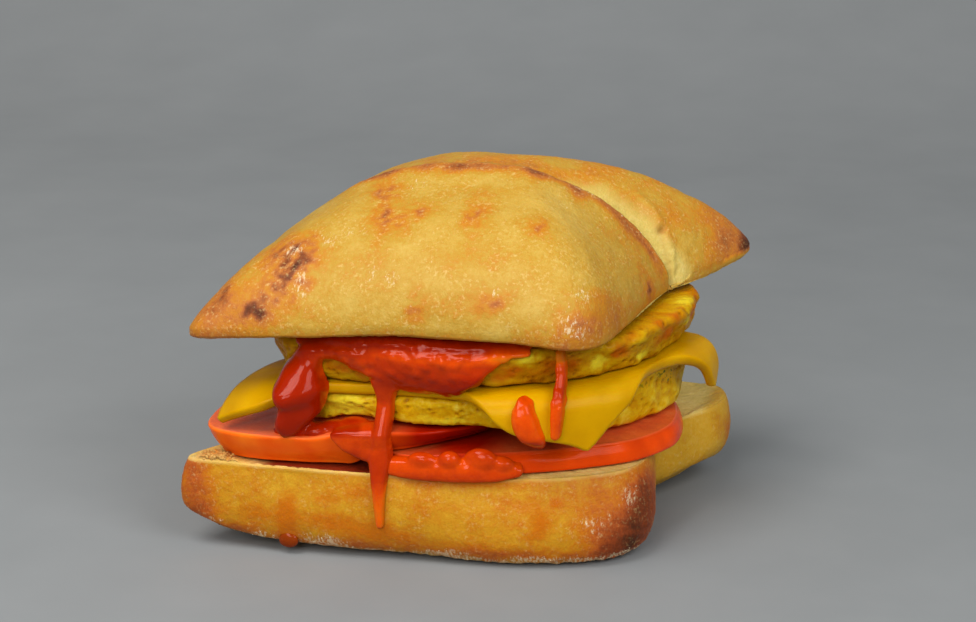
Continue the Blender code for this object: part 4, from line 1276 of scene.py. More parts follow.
@dataclass
class Ketchup:
    """All the ketchup: the layer, its runs, the bubbles and the hanging bead."""

    layer_thick: float = 1.5
    grain: float = 0.4
    seed: int = 71
    puff_deep: float = 2.0
    bead_deep: float = 0.9
    sunk: float = 0.5
    layer: tuple = (
        (-36, -8), (-34, -23), (-27, -32.6), (-12, -36.2), (6, -36.6), (15, -34.6), (25, -28),
        (34, -14), (38, 4), (30, 20), (8, 26), (-16, 25), (-32, 12),
    )
    band: Run = Run((
        (-33, 48.8, 0.8, 0.8), (-29, 49.6, 1.4, 1.6), (-22, 50.7, 1.8, 3), (-12, 51.3, 1.9, 3.3),
        (0, 51.7, 1.8, 3.2), (8, 51.9, 1.5, 2.3), (16, 52.1, 0.8, 1.2),
    ), wave=0.3)
    sheet: Run = Run((
        (-31, 47.4, 1.8, 0.7), (-29, 47.8, 3.2, 1.4), (-23.1, 48.4, 3.2, 1.6), (-15.2, 46.9, 5.2, 1.7),
        (-7.4, 45.6, 6.9, 1.8), (1.5, 46.1, 6.7, 1.7), (6.4, 47, 5.5, 1.6), (10.3, 48.8, 3.7, 1.4),
        (15.7, 50.2, 1.7, 0.9), (20, 50.4, 0.9, 0.6),
    ), lift=0.2, wave=0.12)
    blob: Run = Run((
        (-27.2, 49.8, 1.8, 0.8), (-28.4, 48, 3.2, 2.2), (-30, 45.4, 3.5, 2.6), (-31, 42, 5, 3.5),
        (-31.2, 38.6, 6.2, 4), (-31.4, 35.2, 5.2, 3.6), (-32.8, 32.2, 3.6, 2.7), (-33.6, 30.4, 3, 2),
        (-34, 29.2, 2, 1.2),
    ), lift=0.5, wave=0.08)
    drip: Run = Run((
        (-11.8, 49.8, 2, 0.8), (-12, 47, 4.2, 1.7), (-12.1, 43, 3.4, 1.9), (-12.1, 39.4, 2.7, 1.8),
        (-12.2, 35.5, 2.2, 1.6), (-12.3, 31.6, 2, 1.6), (-12.6, 27, 2.3, 1.6), (-12.7, 23.6, 2.8, 1.8),
        (-12.7, 20.2, 2.1, 1.5), (-12.6, 15.4, 1.5, 1.2), (-12.5, 11.2, 1.2, 1), (-12.4, 9, 1, 0.8),
    ), lift=0.25, wave=0.10)
    curtain: Run = Run((
        (-23.4, 29.4, 1.2, 0.5), (-20.6, 28.5, 2.8, 0.9), (-17.6, 27.8, 4, 1.1),
        (-14.6, 27.4, 4.6, 1.1), (-12.6, 27.2, 4.6, 1.1),
    ), lift=0.1, wave=0.1)
    puddle: tuple = (
        (-33.4, -34.2, 28.4, 4.6, 2.8, 1.5), (-28, -33.8, 28.8, 4.4, 2.8, 1.8),
        (-23.4, -33.2, 29.5, 4.2, 2.6, 1.9), (-19.4, -32.8, 30.3, 3.8, 2.4, 2),
        (-15.2, -33.4, 30.2, 3.6, 2.2, 1.5),
    )
    drop: Run = Run((
        (19, 41, 0.8, 0.5), (19.6, 39.4, 2.2, 1.3), (20, 36.6, 2.9, 1.9), (21.2, 33.6, 2.9, 2),
        (22.8, 31.2, 2.2, 1.6), (23.6, 29.8, 1, 0.7),
    ))
    thread: Run = Run((
        (26.4, 50.4, 0.9, 0.5), (26.7, 47.5, 1.1, 0.7), (27, 44, 1.2, 0.8), (26.9, 40, 1.5, 1),
        (26.8, 35.6, 1.4, 1.1), (26.7, 32.6, 1.1, 0.8),
    ), across=14)
    bubble_line: Run = Run((
        (-12.2, 22.8, 1.8, 0.5), (-7, 22.6, 2.4, 0.8), (0, 22.5, 2.6, 0.9), (6, 22.5, 2.6, 0.9),
        (12, 22.6, 2.5, 0.9), (18.4, 22.8, 1.4, 0.5),
    ), wave=0.06, across=18)
    bubbles: tuple = (
        (-3.2, 24.7, 3.4, 1.9), (2.8, 25, 2.7, 2.2), (9.6, 25, 4, 2.9), (14.2, 24.2, 2.8, 1.9),
    )
    hanging: tuple = (-34.1, 3.4, 2.3, 1.8)
    bead_name: str = "ketchup_smears"

    def build(self, reach: Reach) -> dict[str, Piece]:
        """Make every piece of ketchup.

        Args:
            reach: How far forward the food reaches.

        Returns:
            The pieces by the name of the solid that each stands for; the
            bead, which has no solid, stands under an empty name.
        """
        body = Disc("ketchup_layer", self.layer, (0.0, -4.0), self.under, self.over, 0.0, 0.7,
                    count=260, face_rows=9, side_rows=5, bend_rows=4)
        parts = [body.base()[0]]
        runs = (self.band, self.sheet, self.blob, self.drip, self.curtain)
        parts += [run.build("run", reach) for run in runs]
        for x, y, z, across, deep, high in self.puddle:
            parts.append(ball("lump", (x, y, z), (across, deep, high)))
        main_run = melt("ketchup_run", parts, self.grain, 3)
        puffs = [self.bubble_line.build("run", reach)]
        for x, z, half, high in self.bubbles:
            front = float(reach.at(reach.level, x, z)) - GAP
            puffs.append(ball("puff", (x, front + self.sunk, z), (half, self.puff_deep, high)))
        x, z, half, high = self.hanging
        front = float(reach.at(reach.level, x, z))
        bead = ball("bead", (x, front + self.sunk, z), (half, self.bead_deep, high))
        bubbles = melt("ketchup_puffs", puffs, 0.25, 40)
        drop = melt("ketchup_dab", [self.drop.build("run", reach)], 0.22, 30)
        thread = melt("ketchup_string", [self.thread.build("run", reach)], 0.18, 8)
        made = {
            "ketchup": (main_run, 0.13, 6.8),
            "ketchup_bubbles": (bubbles, 0.34, 45.0),
            "ketchup_drop": (drop, 0.17, 18.0),
            "ketchup_thread": (thread, 0.16, 18.0),
            "": (melt(self.bead_name, [bead], 0.16, 3), 0.08, 14.0),
        }
        for item, least, most in made.values():
            self.dress(item, reach, least, most)
        return {node_name: item for node_name, (item, _, _) in made.items()}

    def dress(self, item: Piece, reach: Reach, least: float, most: float) -> None:
        """Raise the relief and store how deep the sauce looks.

        Args:
            item: A piece of ketchup.
            reach: How far forward the food reaches.
            least: The depth that the thinnest sauce seems to have, 0 to 1.
            most: The thickness in millimetres that adds 1 to it.
        """
        p = points_of(item)
        x, y, z = p.T
        noise = Noise(self.seed)
        sheet = smooth(-33.0, -20.0, x) * smooth(36.0, 42.0, z) * smooth(-30.0, -34.0, y)
        puff = np.maximum(0.5 - noise.cells(p, 3.0), 0.0)
        height = 0.10 * noise.at(p, 4.0) + sheet * (0.9 * puff + 0.16 * noise.at(p, 2.2))
        if item.name == self.bead_name:
            height *= 0.2
        raise_by(item, height)
        depth = reach.at(reach.near, x, z) - y
        # Painted light: the band just under the crown's edge, which lies in its shade, is painted a
        # lighter orange.
        squeezed = 0.52 * smooth(46.8, 50.0, z) * smooth(-27.0, -22.0, x)
        running = smooth(42.0, 36.0, z) * smooth(6.0, 4.0, np.abs(x + 12.4))
        depth = (depth - 0.85 * running * np.maximum(depth - 2.2, 0.0)) / most - squeezed
        depth -= 0.24 * running * smooth(21.0, 14.0, z)
        # Painted shade: sauce below about 6 mm, the hanging bead, is painted darker.
        gathered = 0.3 * smooth(6.5, 5.0, z)
        paint(item, depth=least + depth + gathered)

    @staticmethod
    def under(x: Array, y: Array) -> Array:
        """Underside of the layer, on the upper patty."""
        return upper_egg_over(x, y) + 0.1

    def over(self, x: Array, y: Array) -> Array:
        """Top of the layer, under the crown."""
        return upper_egg_over(x, y) + self.layer_thick


def colour(code: str) -> tuple[float, float, float, float]:
    """Turn an sRGB hex code into the linear colour that a shader takes."""
    found = []
    for start in (1, 3, 5):
        value = int(code[start:start + 2], 16) / 255.0
        found.append(value / 12.92 if value <= 0.04045 else ((value + 0.055) / 1.055) ** 2.4)
    return (*found, 1.0)


def node(tree: bpy.types.NodeTree, kind: str, links: dict | None = None,
         stops: Sequence | None = None, **settings: object) -> bpy.types.Node:
    """Add a node with its settings and links.

    Args:
        tree: The tree to add it to.
        kind: The node's type.
        links: What feeds each input, by name or number: a socket or a value.
        stops: Place and colour of each stop of a ramp.
        settings: The node's own settings.

    Returns:
        The new node.
    """
    made = tree.nodes.new(kind)
    for name, value in settings.items():
        setattr(made, name, value)
    for k, (place, shade) in enumerate(stops or ()):
        ramp = made.color_ramp.elements
        stop = ramp[k] if k < 2 else ramp.new(place)
        stop.position = place
        stop.color = shade if len(shade) == 4 else (shade[0], shade[0], shade[0], 1.0)
    for key, value in (links or {}).items():
        if isinstance(value, Socket):
            tree.links.new(value, made.inputs[key])
        else:
            made.inputs[key].default_value = value
    return made


class Surface:
    """A material under construction: its tree, its shader and common lookups."""

    def __init__(self, name: str, roughness: float, **fixed: object) -> None:
        """Start a material.

        Args:
            name: Its name.
            roughness: Its even roughness.
            fixed: Further constants of the shader, spaces in names as _.
        """
        self.material = bpy.data.materials.new(name)
        self.material.use_nodes = True
        self.tree = self.material.node_tree
        self.shader = self.tree.nodes["Principled BSDF"]
        self.shader.inputs["Roughness"].default_value = roughness
        for key, value in fixed.items():
            self.shader.inputs[key.replace("_", " ")].default_value = value
        self.place = self.add("ShaderNodeTexCoord").outputs["Object"]

    def add(self, kind: str, links: dict | None = None, **settings: object) -> bpy.types.Node:
        """Add a node to this material."""
        return node(self.tree, kind, links, **settings)

    def value(self, name: str) -> Socket:
        """Read a number painted on the piece."""
        return self.add("ShaderNodeAttribute", attribute_name=name).outputs["Fac"]

    def noise(self, size: float, detail: float = 3.0, rough: float = 0.55,
              place: Socket | None = None) -> Socket:
        """Noise about 0.5 whose features measure size millimetres."""
        links = {"Vector": place or self.place, "Scale": 1.0 / (size * MM), "Detail": detail,
                 "Roughness": rough}
        return self.add("ShaderNodeTexNoise", links).outputs["Fac"]

    def math(self, operation: str, *values: object) -> Socket:
        """Combine numbers."""
        links = dict(enumerate(values))
        return self.add("ShaderNodeMath", links, operation=operation).outputs[0]

    def sum(self, base: object, *terms: tuple) -> Socket:
        """Add to base each value less a half, times its weight."""
        for value, weight in terms:
            moved = self.math("SUBTRACT", value, 0.5)
            base = self.math("MULTIPLY_ADD", moved, weight, base)
        return base

    def step(self, value: object, low: float, high: float) -> Socket:
        """Rise from 0 to 1 as value goes from low to high."""
        links = {"Value": value, "From Min": low, "From Max": high}
        made = self.add("ShaderNodeMapRange", links, interpolation_type="SMOOTHSTEP")
        return made.outputs["Result"]

    def ramp(self, value: object, *stops: tuple) -> Socket:
        """Look a value up among colours given as hex codes."""
        shades = [(place, colour(code)) for place, code in stops]
        return self.add("ShaderNodeValToRGB", {"Fac": value}, stops=shades).outputs["Color"]

    def mix(self, share: object, under: object, over: object) -> Socket:
        """Lay a colour over another by a share."""
        links = {0: share, 6: under, 7: over}
        return self.add("ShaderNodeMix", links, data_type="RGBA").outputs[2]

    def lay(self, under: Socket, code: str, share: Socket, most: float = 1.0) -> Socket:
        """Lay one colour over others where share is high, as densely as most."""
        if most < 1.0:
            share = self.math("MULTIPLY", share, most)
        return self.mix(share, under, colour(code))

    def finish(self, base: object, height: object, depth: float,
               rough: object | None = None) -> Material:
        """Wire the shader.

        Args:
            base: The colour.
            height: The height that bump follows, 0 to 1.
            depth: How high a height of 1 is, in millimetres.
            rough: Roughness that varies, if it does.

        Returns:
            The finished material.
        """
        bump = self.add("ShaderNodeBump", {"Height": height, "Distance": depth * MM, "Strength": 1.0})
        self.tree.links.new(bump.outputs["Normal"], self.shader.inputs["Normal"])
        self.tree.links.new(base, self.shader.inputs["Base Color"])
        if rough is not None:
            self.tree.links.new(rough, self.shader.inputs["Roughness"])
        return self.material


@dataclass(frozen=True)
class CrustFinish:
    """Oven-baked wheat crust.

    A roll proved in flour and baked hot: a dry golden skin that browns where
    it stands proud, with flour caught in its fine wrinkles and a pale, open
    crumb where it tore or was cut.
    """

    name: str
    stops: tuple = (
        (0.0, "#ccb062"), (0.22, "#c49f46"), (0.36, "#ba8e2e"), (0.50, "#be7a1c"), (0.64, "#b2682a"),
        (0.80, "#7e401d"), (1.0, "#45200d"),
    )
    # Crumb tones kept darker than the heel's: partly painted shade for the torn crumb in the ear's
    # shade.
    crumb: tuple = ((0.0, "#ac9240"), (0.5, "#c8ae58"), (1.0, "#dccc80"))
    blister: str = "#ecd08a"
    scorch: str = "#7d3d1e"
    flour: str = "#ecdcb4"
    # Orange of ketchup soaked into the crust.
    wet: str = "#c06404"
    shade: str = "#8c5c1c"
    # Dark red of ketchup soaked into the crumb, also the painted shade in the gap under the tomato.
    juice: str = "#7c2406"
    speckle: float = 0.36

    def make(self) -> Material:
        """Build the material."""
        s = Surface(self.name, 0.6, IOR=1.45, Specular_IOR_Level=0.2, Subsurface_Weight=0.06,
                    Subsurface_Scale=1.2 * MM)
        grain, blotch, fine = s.noise(1.1), s.noise(4.5), s.noise(0.45, 4.0)
        bake = s.sum(s.value("bake"), (blotch, 0.26), (grain, 0.24), (fine, 0.16))
        skin = s.ramp(bake, *self.stops)
        specks = s.step(s.noise(1.4, 4.0, 0.7), 0.56, 0.70)
        dark = s.math("MULTIPLY", specks, s.step(bake, 0.46, 0.75))
        skin = s.lay(skin, self.scorch, dark, 0.5)
        pale = s.step(s.noise(0.8, 3.0, 0.6), 0.50, 0.74)
        pale = s.math("MULTIPLY", pale, s.step(blotch, 0.36, 0.60))
        skin = s.lay(skin, self.blister, pale, self.speckle)
        stretch = s.add("ShaderNodeMapping", {"Vector": s.place, "Rotation": (0.5, 0.3, 0.7),
                                              "Scale": (1.0, 0.34, 0.42)}).outputs[0]
        streak = s.noise(0.5, 3.0, 0.6, stretch)
        dust = s.sum(s.math("MULTIPLY", s.value("flour"), 0.5), (streak, 1.4), (fine, 0.5))
        flour = s.step(dust, 0.34, 0.66)
        skin = s.lay(skin, self.flour, flour, 0.6)
        inside = s.ramp(s.sum(0.5, (grain, 0.7), (blotch, 0.6), (fine, 0.4)), *self.crumb)
        crumb = s.value("crumb")
        skin = s.mix(crumb, skin, inside)
        soaked = s.step(s.sum(s.value("stain"), (blotch, 0.35), (grain, 0.35), (fine, 0.2)), 0.0, 0.85)
        skin = s.lay(skin, self.wet, soaked, 0.9)
        # Painted shade in the crumb hole and beside the fold.
        skin = s.lay(skin, self.shade, s.value("hollow"), 0.85)
        # Soaked-in ketchup and painted gap shade on the heel's cut face.
        skin = s.lay(skin, self.juice, s.step(s.value("juice"), 0.1, 0.6))
        rough = s.sum(0.58, (flour, 0.30), (crumb, 0.2), (soaked, -0.28))
        height = s.sum(0.5, (grain, 0.5), (fine, 0.4), (streak, 0.3))
        return s.finish(skin, height, 0.25, rough)


@dataclass(frozen=True)
class TomatoFinish:
    """Ripe tomato, sliced uncooked: taut waxy skin, moist flesh that light enters, painted shade on the
    flesh and a painted highlight along the upper edge.
    """

    name: str
    skin: tuple = ((0.0, "#c83404"), (0.5, "#ee4c06"), (1.0, "#ff7616"))
    flesh: tuple = ((0.3, "#d43c05"), (0.6, "#ee5a0e"), (0.8, "#f8823c"))
    # Painted highlight: a pale band along the upper edge of the rim.
    lip: str = "#ea8656"
    # Dark red for painted shade on the flesh.
    wet: str = "#9c1400"

    def make(self) -> Material:
        """Build the material."""
        s = Surface(self.name, 0.26, IOR=1.4, Specular_IOR_Level=0.22,
                    Specular_Tint=colour("#ff9868"), Subsurface_Weight=0.18,
                    Subsurface_Radius=(1.0, 0.25, 0.1), Subsurface_Scale=2.0 * MM,
                    Coat_Weight=0.08, Coat_Roughness=0.15)
        blotch, fine = s.noise(7.0), s.noise(0.6)
        skin = s.ramp(s.sum(s.value("ripe"), (blotch, 0.8), (s.value("rib"), 0.3)), *self.skin)
        flesh = s.ramp(s.sum(0.5, (blotch, 0.9), (fine, 0.5)), *self.flesh)
        base = s.mix(s.value("skin"), flesh, skin)
        # Painted highlight along the upper edge.
        base = s.lay(base, self.lip, s.step(s.value("turn"), 0.74, 0.88), 0.3)
        # Painted shade where the deep mask is high.
        base = s.lay(base, self.wet, s.value("deep"))
        return s.finish(base, s.sum(0.5, (blotch, 0.5), (fine, 0.2)), 0.15)


@dataclass(frozen=True)
class EggFinish:
    """Beaten egg cooked as a thick patty: soft, porous, browned by the pan."""

    name: str
    tones: tuple = ((0.12, "#9c6202"), (0.40, "#cc8c04"), (0.68, "#deae0a"), (1.0, "#f2d84a"))
    pan: str = "#b45a05"
    # Pale yellow: less cooked egg, and painted light on the lower patty's front.
    raw: str = "#dcc82a"
    # Painted shade in the pits.
    hole: str = "#7a5206"
    herb: str = "#4e5c06"

    def make(self) -> Material:
        """Build the material."""
        s = Surface(self.name, 0.42, IOR=1.4, Specular_IOR_Level=0.12,
                    Specular_Tint=colour("#ffe08c"), Subsurface_Weight=0.2,
                    Subsurface_Radius=(1.0, 0.7, 0.2), Subsurface_Scale=1.6 * MM,
                    Coat_Weight=0.06, Coat_Roughness=0.2)
        blotch, grain, fine = s.noise(4.0), s.noise(1.2), s.noise(0.5)
        tone = s.sum(0.5, (s.value("lump"), 0.35), (blotch, 0.6), (grain, 0.5))
        # Painted shade: the pits take a darker tone and the hole colour.
        base = s.ramp(s.sum(tone, (s.value("pit"), -0.35)), *self.tones)
        brown = s.step(s.sum(s.value("brown"), (grain, 0.5), (blotch, 0.5)), 0.15, 0.8)
        base = s.lay(base, self.pan, brown)
        # Paler yellow where the marks lie: less cooked egg, and painted light on the lower patty's
        # front.
        raw = s.step(s.sum(s.value("fresh"), (grain, 0.8), (blotch, 0.5)), 0.2, 1.0)
        base = s.lay(base, self.raw, raw, 0.8)
        base = s.lay(base, self.hole, s.step(s.value("pit"), 0.25, 0.9), 0.55)
        leaf = s.math("MULTIPLY", s.value("herb"), s.step(s.noise(1.4), 0.55, 0.66))
        base = s.lay(base, self.herb, leaf)
        height = s.sum(0.5, (grain, 0.6), (fine, 0.35))
        return s.finish(base, height, 0.3, s.sum(0.42, (grain, 0.25)))


@dataclass(frozen=True)
class CheeseFinish:
    """Processed cheese, warmed: smooth, slightly greasy, light enters its edge."""

    name: str
    tones: tuple = ((0.0, "#b07c00"), (0.5, "#c49000"), (1.0, "#d6a206"))

    def make(self) -> Material:
        """Build the material."""
        s = Surface(self.name, 0.34, IOR=1.45, Specular_IOR_Level=0.15,
                    Specular_Tint=colour("#ffdc78"), Subsurface_Weight=0.3,
                    Subsurface_Radius=(1.0, 0.5, 0.12), Subsurface_Scale=2.5 * MM,
                    Coat_Weight=0.05, Coat_Roughness=0.2)
        blotch, fine = s.noise(6.0), s.noise(0.7)
        base = s.ramp(s.sum(0.5, (s.value("soft"), 0.6), (blotch, 0.6), (fine, 0.15)), *self.tones)
        return s.finish(base, s.sum(0.5, (blotch, 0.4), (fine, 0.15)), 0.12)


@dataclass(frozen=True)
class KetchupFinish:
    """Ketchup: a glossy red puree, orange where it is thin, dark where thick."""

    name: str
    tones: tuple = (
        (0.0, "#cc6c08"), (0.16, "#e46004"), (0.32, "#d44602"), (0.52, "#b43002"), (0.80, "#981c00"),
    )

    def make(self) -> Material:
        """Build the material."""
        s = Surface(self.name, 0.14, IOR=1.42, Specular_IOR_Level=0.22,
                    Specular_Tint=colour("#ff7a4c"), Subsurface_Weight=0.2,
                    Subsurface_Radius=(1.0, 0.2, 0.08), Subsurface_Scale=1.0 * MM,
                    Coat_Weight=0.22, Coat_Roughness=0.03)
        blotch, fine = s.noise(3.0), s.noise(0.6)
        base = s.ramp(s.sum(s.value("depth"), (blotch, 0.28), (fine, 0.12)), *self.tones)
        return s.finish(base, s.sum(0.5, (blotch, 0.5), (fine, 0.25)), 0.18, s.sum(0.17, (fine, 0.12)))


@dataclass(frozen=True)
class PlainFinish:
    """A finish of two close tones, such as flour, a crumb or a dried leaf."""

    name: str
    dark: str
    light: str
    roughness: float
    size: float = 0.6

    def make(self) -> Material:
        """Build the material."""
        s = Surface(self.name, self.roughness)
        tone = s.noise(self.size)
        base = s.ramp(tone, (0.35, self.dark), (0.65, self.light))
        return s.finish(base, tone, 0.1)


@dataclass(frozen=True)
class Sprinkle:
    """Small things scattered over a food where one of its painted masks is high."""

    name: str
    mask: str
    per_square_mm: float
    small: float
    large: float
    flatness: float
    seed: int
    low: float = 0.3
    sink: float = 0.1

    def tree(self, material: Material) -> bpy.types.NodeTree:
        """Build the tree that scatters them.

        Args:
            material: What they are made of.

        Returns:
            The tree, with named inputs for sizes, number and seed.
        """
        tree = bpy.data.node_groups.new(self.name, "GeometryNodeTree")
        numbers = ("Density", "Small", "Large", "Flatness", "Sink")
        sockets = [("Geometry", "INPUT", "Geometry"), ("Geometry", "OUTPUT", "Geometry")]
        sockets += [(name, "INPUT", "Float") for name in numbers]
        for name, way, kind in sockets + [("Seed", "INPUT", "Int")]:
            tree.interface.new_socket(name, in_out=way, socket_type="NodeSocket" + kind)
        add = partial(node, tree)
        times = partial(add, "ShaderNodeMath", operation="MULTIPLY")
        given = add("NodeGroupInput").outputs
        read = add("GeometryNodeInputNamedAttribute", {"Name": self.mask}, data_type="FLOAT")
        share = add("ShaderNodeMapRange", {"Value": read.outputs["Attribute"],
                                           "From Min": self.low, "From Max": 1.0})
        density = times({0: share.outputs["Result"], 1: given["Density"]})
        spots = add("GeometryNodeDistributePointsOnFaces",
                    {"Mesh": given["Geometry"], "Density": density.outputs[0], "Seed": given["Seed"]})
        grain = add("GeometryNodeMeshIcoSphere", {"Radius": 1.0, "Subdivisions": 2})
        lump = add("ShaderNodeTexNoise", {"Scale": 1.3, "Detail": 1.0}, noise_dimensions="3D")
        bent = add("ShaderNodeMath", {0: lump.outputs["Fac"], 1: 0.9, 2: 0.5},
                   operation="MULTIPLY_ADD")
        spot = add("GeometryNodeInputPosition")
        warp = add("ShaderNodeVectorMath", {0: spot.outputs[0], "Scale": bent.outputs[0]},
                   operation="SCALE")
        shape = add("GeometryNodeSetPosition",
                    {"Geometry": grain.outputs["Mesh"], "Position": warp.outputs[0]})
        spin = add("FunctionNodeRandomValue", {0: (-0.5, -0.5, 0.0), 1: (0.5, 0.5, 6.28)},
                   data_type="FLOAT_VECTOR")
        turn = add("FunctionNodeRotateRotation",
                   {0: spots.outputs["Rotation"], 1: spin.outputs[0]}, rotation_space="LOCAL")
        chance = partial(add, "FunctionNodeRandomValue", data_type="FLOAT")
        size = chance({2: given["Small"], 3: given["Large"]}).outputs[1]
        flat = times({0: size, 1: given["Flatness"]})
        side = times({0: size, 1: chance({2: 0.6, 3: 1.4}).outputs[1]})
        scale = add("ShaderNodeCombineXYZ", {0: side.outputs[0], 1: size, 2: flat.outputs[0]})
        down = add("ShaderNodeVectorMath",
                   {0: spots.outputs["Normal"], "Scale": given["Sink"]}, operation="SCALE")
        moved = add("GeometryNodeSetPosition",
                    {"Geometry": spots.outputs["Points"], "Offset": down.outputs[0]})
        last = add("GeometryNodeInstanceOnPoints",
                   {"Points": moved.outputs[0], "Instance": shape.outputs[0],
                    "Rotation": turn.outputs[0], "Scale": scale.outputs[0]})
        for kind in ("RealizeInstances", "SetShadeSmooth", "SetMaterial"):
            last = add("GeometryNode" + kind, {0: last.outputs[0]})
        last.inputs["Material"].default_value = material
        add("NodeGroupOutput", {0: last.outputs[0]})
        return tree

    def over(self, carrier: Piece, material: Material) -> Piece:
        """Scatter over a piece.

        Args:
            carrier: The food that they lie on.
            material: What they are made of.

        Returns:
            One piece with all of them.
        """
        tree = self.tree(material)
        sizes = {"Density": self.per_square_mm / MM ** 2, "Small": self.small * MM,
                 "Large": self.large * MM, "Flatness": self.flatness, "Sink": -self.sink * MM,
                 "Seed": self.seed}
        bed = show(self.name, carrier.data.copy())
        scatter = bed.modifiers.new("scatter", "NODES")
        scatter.node_group = tree
        for socket in tree.interface.items_tree:
            if socket.in_out == "INPUT" and socket.name in sizes:
                scatter[socket.identifier] = sizes[socket.name]
        data = solved(bed)
        bpy.data.objects.remove(bed, do_unlink=True)
        data.name = self.name
        return show(self.name, data)


@dataclass
class Studio:
    """Grey paper that curves up behind the food, soft light and the camera."""

    near: float = -1.4
    bend_start: float = 0.35
    bend: float = 0.5
    bend_rows: int = 24
    top: float = 1.6
    half_width: float = 1.6
    lamps: tuple = (
        ("key", (-0.25, -0.35, 0.78), 0.45, 5.3, (1.0, 0.98, 0.95)),
        ("fill", (0.60, -0.45, 0.60), 0.50, 4.2, (0.98, 0.99, 1.0)),
        ("front", (-0.10, -1.00, 0.60), 0.45, 4.6, (1.0, 1.0, 1.0)),
    )
    lit_height: float = 0.04
    sky: str = "#b4b6b8"
    sky_power: float = 0.62
    lens: float = 85.0
    nearest: float = 0.01
    paper: str = "#808384"
    paper_pale: float = 0.055
    # Painted light on the paper: where it grows paler towards the back and to the left, in metres.
    pale_back: tuple = (0.15, 0.55)
    pale_left: tuple = (0.2, -0.3)
    place: tuple = (0.10924, -0.49814, 0.20438)
    back: tuple = (0.1988, -0.9354, 0.2924)

    def backdrop(self) -> Piece:
        """Make the paper, with painted light: paler towards the back and to the left."""
        line = [(self.near, 0.0), (self.bend_start, 0.0)]
        for turn in np.linspace(0.0, math.pi / 2.0, self.bend_rows + 1)[1:]:
            away, level = self.bend * math.sin(turn), self.bend * (1.0 - math.cos(turn))
            line.append((self.bend_start + away, level))
        line.append((line[-1][0], self.top))
        points, faces = [], []
        for y, z in line:
            points += [(-self.half_width, y, z), (self.half_width, y, z)]
        for k in range(len(line) - 1):
            faces.append((2 * k, 2 * k + 1, 2 * k + 3, 2 * k + 2))
        data = bpy.data.meshes.new("paper")
        data.from_pydata(points, [], faces)
        data.shade_smooth()
        item = show("paper", data)
        s = Surface("paper", 0.85)
        tone = s.noise(40.0)
        away = s.add("ShaderNodeSeparateXYZ", {0: s.place}).outputs
        # Painted light: besides an even lift and random tone, the paper grows paler towards the back
        # and to the left.
        pale = s.sum(self.paper_pale, (tone, 0.06), (s.step(away["Y"], *self.pale_back), 0.06),
                     (s.step(away["X"], *self.pale_left), 0.05))
        data.materials.append(s.finish(s.mix(pale, colour(self.paper), colour("#ffffff")), tone, 0.02))
        return item

    def lamp(self, name: str, place: Sequence, size: float, power: float, tint: Sequence) -> None:
        """Hang a square soft light that looks at the food.

        Args:
            name: Its name.
            place: Where it hangs, in metres.
            size: Its side in metres.
            power: Its power in watts.
            tint: Its colour.
        """
        data = bpy.data.lights.new(name, "AREA")
        data.energy = power
        data.size = size
        data.color = tint
        item = show(name, data)
        item.location = place
        aim = Vector((0.0, 0.0, self.lit_height)) - Vector(place)
        item.rotation_euler = aim.to_track_quat("-Z", "Y").to_euler()

    def build(self) -> Piece:
        """Set up paper, lights, world and camera.

        Returns:
            The paper.
        """
        scene = bpy.context.scene
        for lamp in self.lamps:
            self.lamp(*lamp)
        world = bpy.data.worlds.new("soft_grey")
        scene.world = world
        world.use_nodes = True
        sky = world.node_tree.nodes["Background"].inputs
        sky["Color"].default_value = colour(self.sky)
        sky["Strength"].default_value = self.sky_power
        camera = show("camera", bpy.data.cameras.new("camera"))
        camera.data.lens = self.lens
        camera.data.clip_start = self.nearest
        camera.location = self.place
        camera.rotation_euler = (-Vector(self.back)).to_track_quat("-Z", "Y").to_euler()
        scene.camera = camera
        scene.view_settings.view_transform = "Standard"
        return self.backdrop()


# shaded: painted shade on each slice, dark red flesh where the eggs and cheese overhang it.
RIGHT_TOMATO = TomatoSlice("tomato_slice_right", RIGHT_SLICE, (15.0, -3.0), right_slice_under,
                           right_slice_over, -1.4, 0.7, seed=21, ripe=0.32,
                           shaded=Mark(4.0, -25.0, 26.4, 12.0, 3.0, 1.15))
LEFT_TOMATO = TomatoSlice("tomato_slice_left", LEFT_SLICE, (-19.0, -3.0), left_slice_under,
                          left_slice_over, 3.2, 0.7, seed=22, ripe=0.78,
                          shaded=Mark(4.0, -30.0, 29.0, 14.5, 9.0, 1.5))
LOWER_PATTY = EggPatty(
    "egg_patty_lower", LOWER_EGG, EGG_MIDDLE, lower_egg_under, below_cheese, 1.0, 1.8, 520, seed=41,
    lump=0.55,
    browned=marks(
        (-28, -29, 36.5, 8, 1.6, 0.3), (10, -32, 33, 6, 2, 0.35), (36, -14, 36, 4, 2.5, 0.35),
        (46, 4, 37, 6, 1.5, 0.4),
    ),
    # These marks stand for less cooked egg and for painted light on the front, which lies in shade
    # under the cheese.
    fresh=marks(
        (-21.5, -31.5, 34.6, 6, 3.8, 1.2), (0, -32, 32.4, 10, 1.7, 0.8), (44, -4, 34, 5, 3, 0.5),
    ),
    herbs=marks(
        (44.6, -3, 38, 2, 1.6, 1), (46.4, 0.5, 36.4, 2, 2.6, 1), (41, -9, 36.5, 3, 2, 0.6),
    ),
)
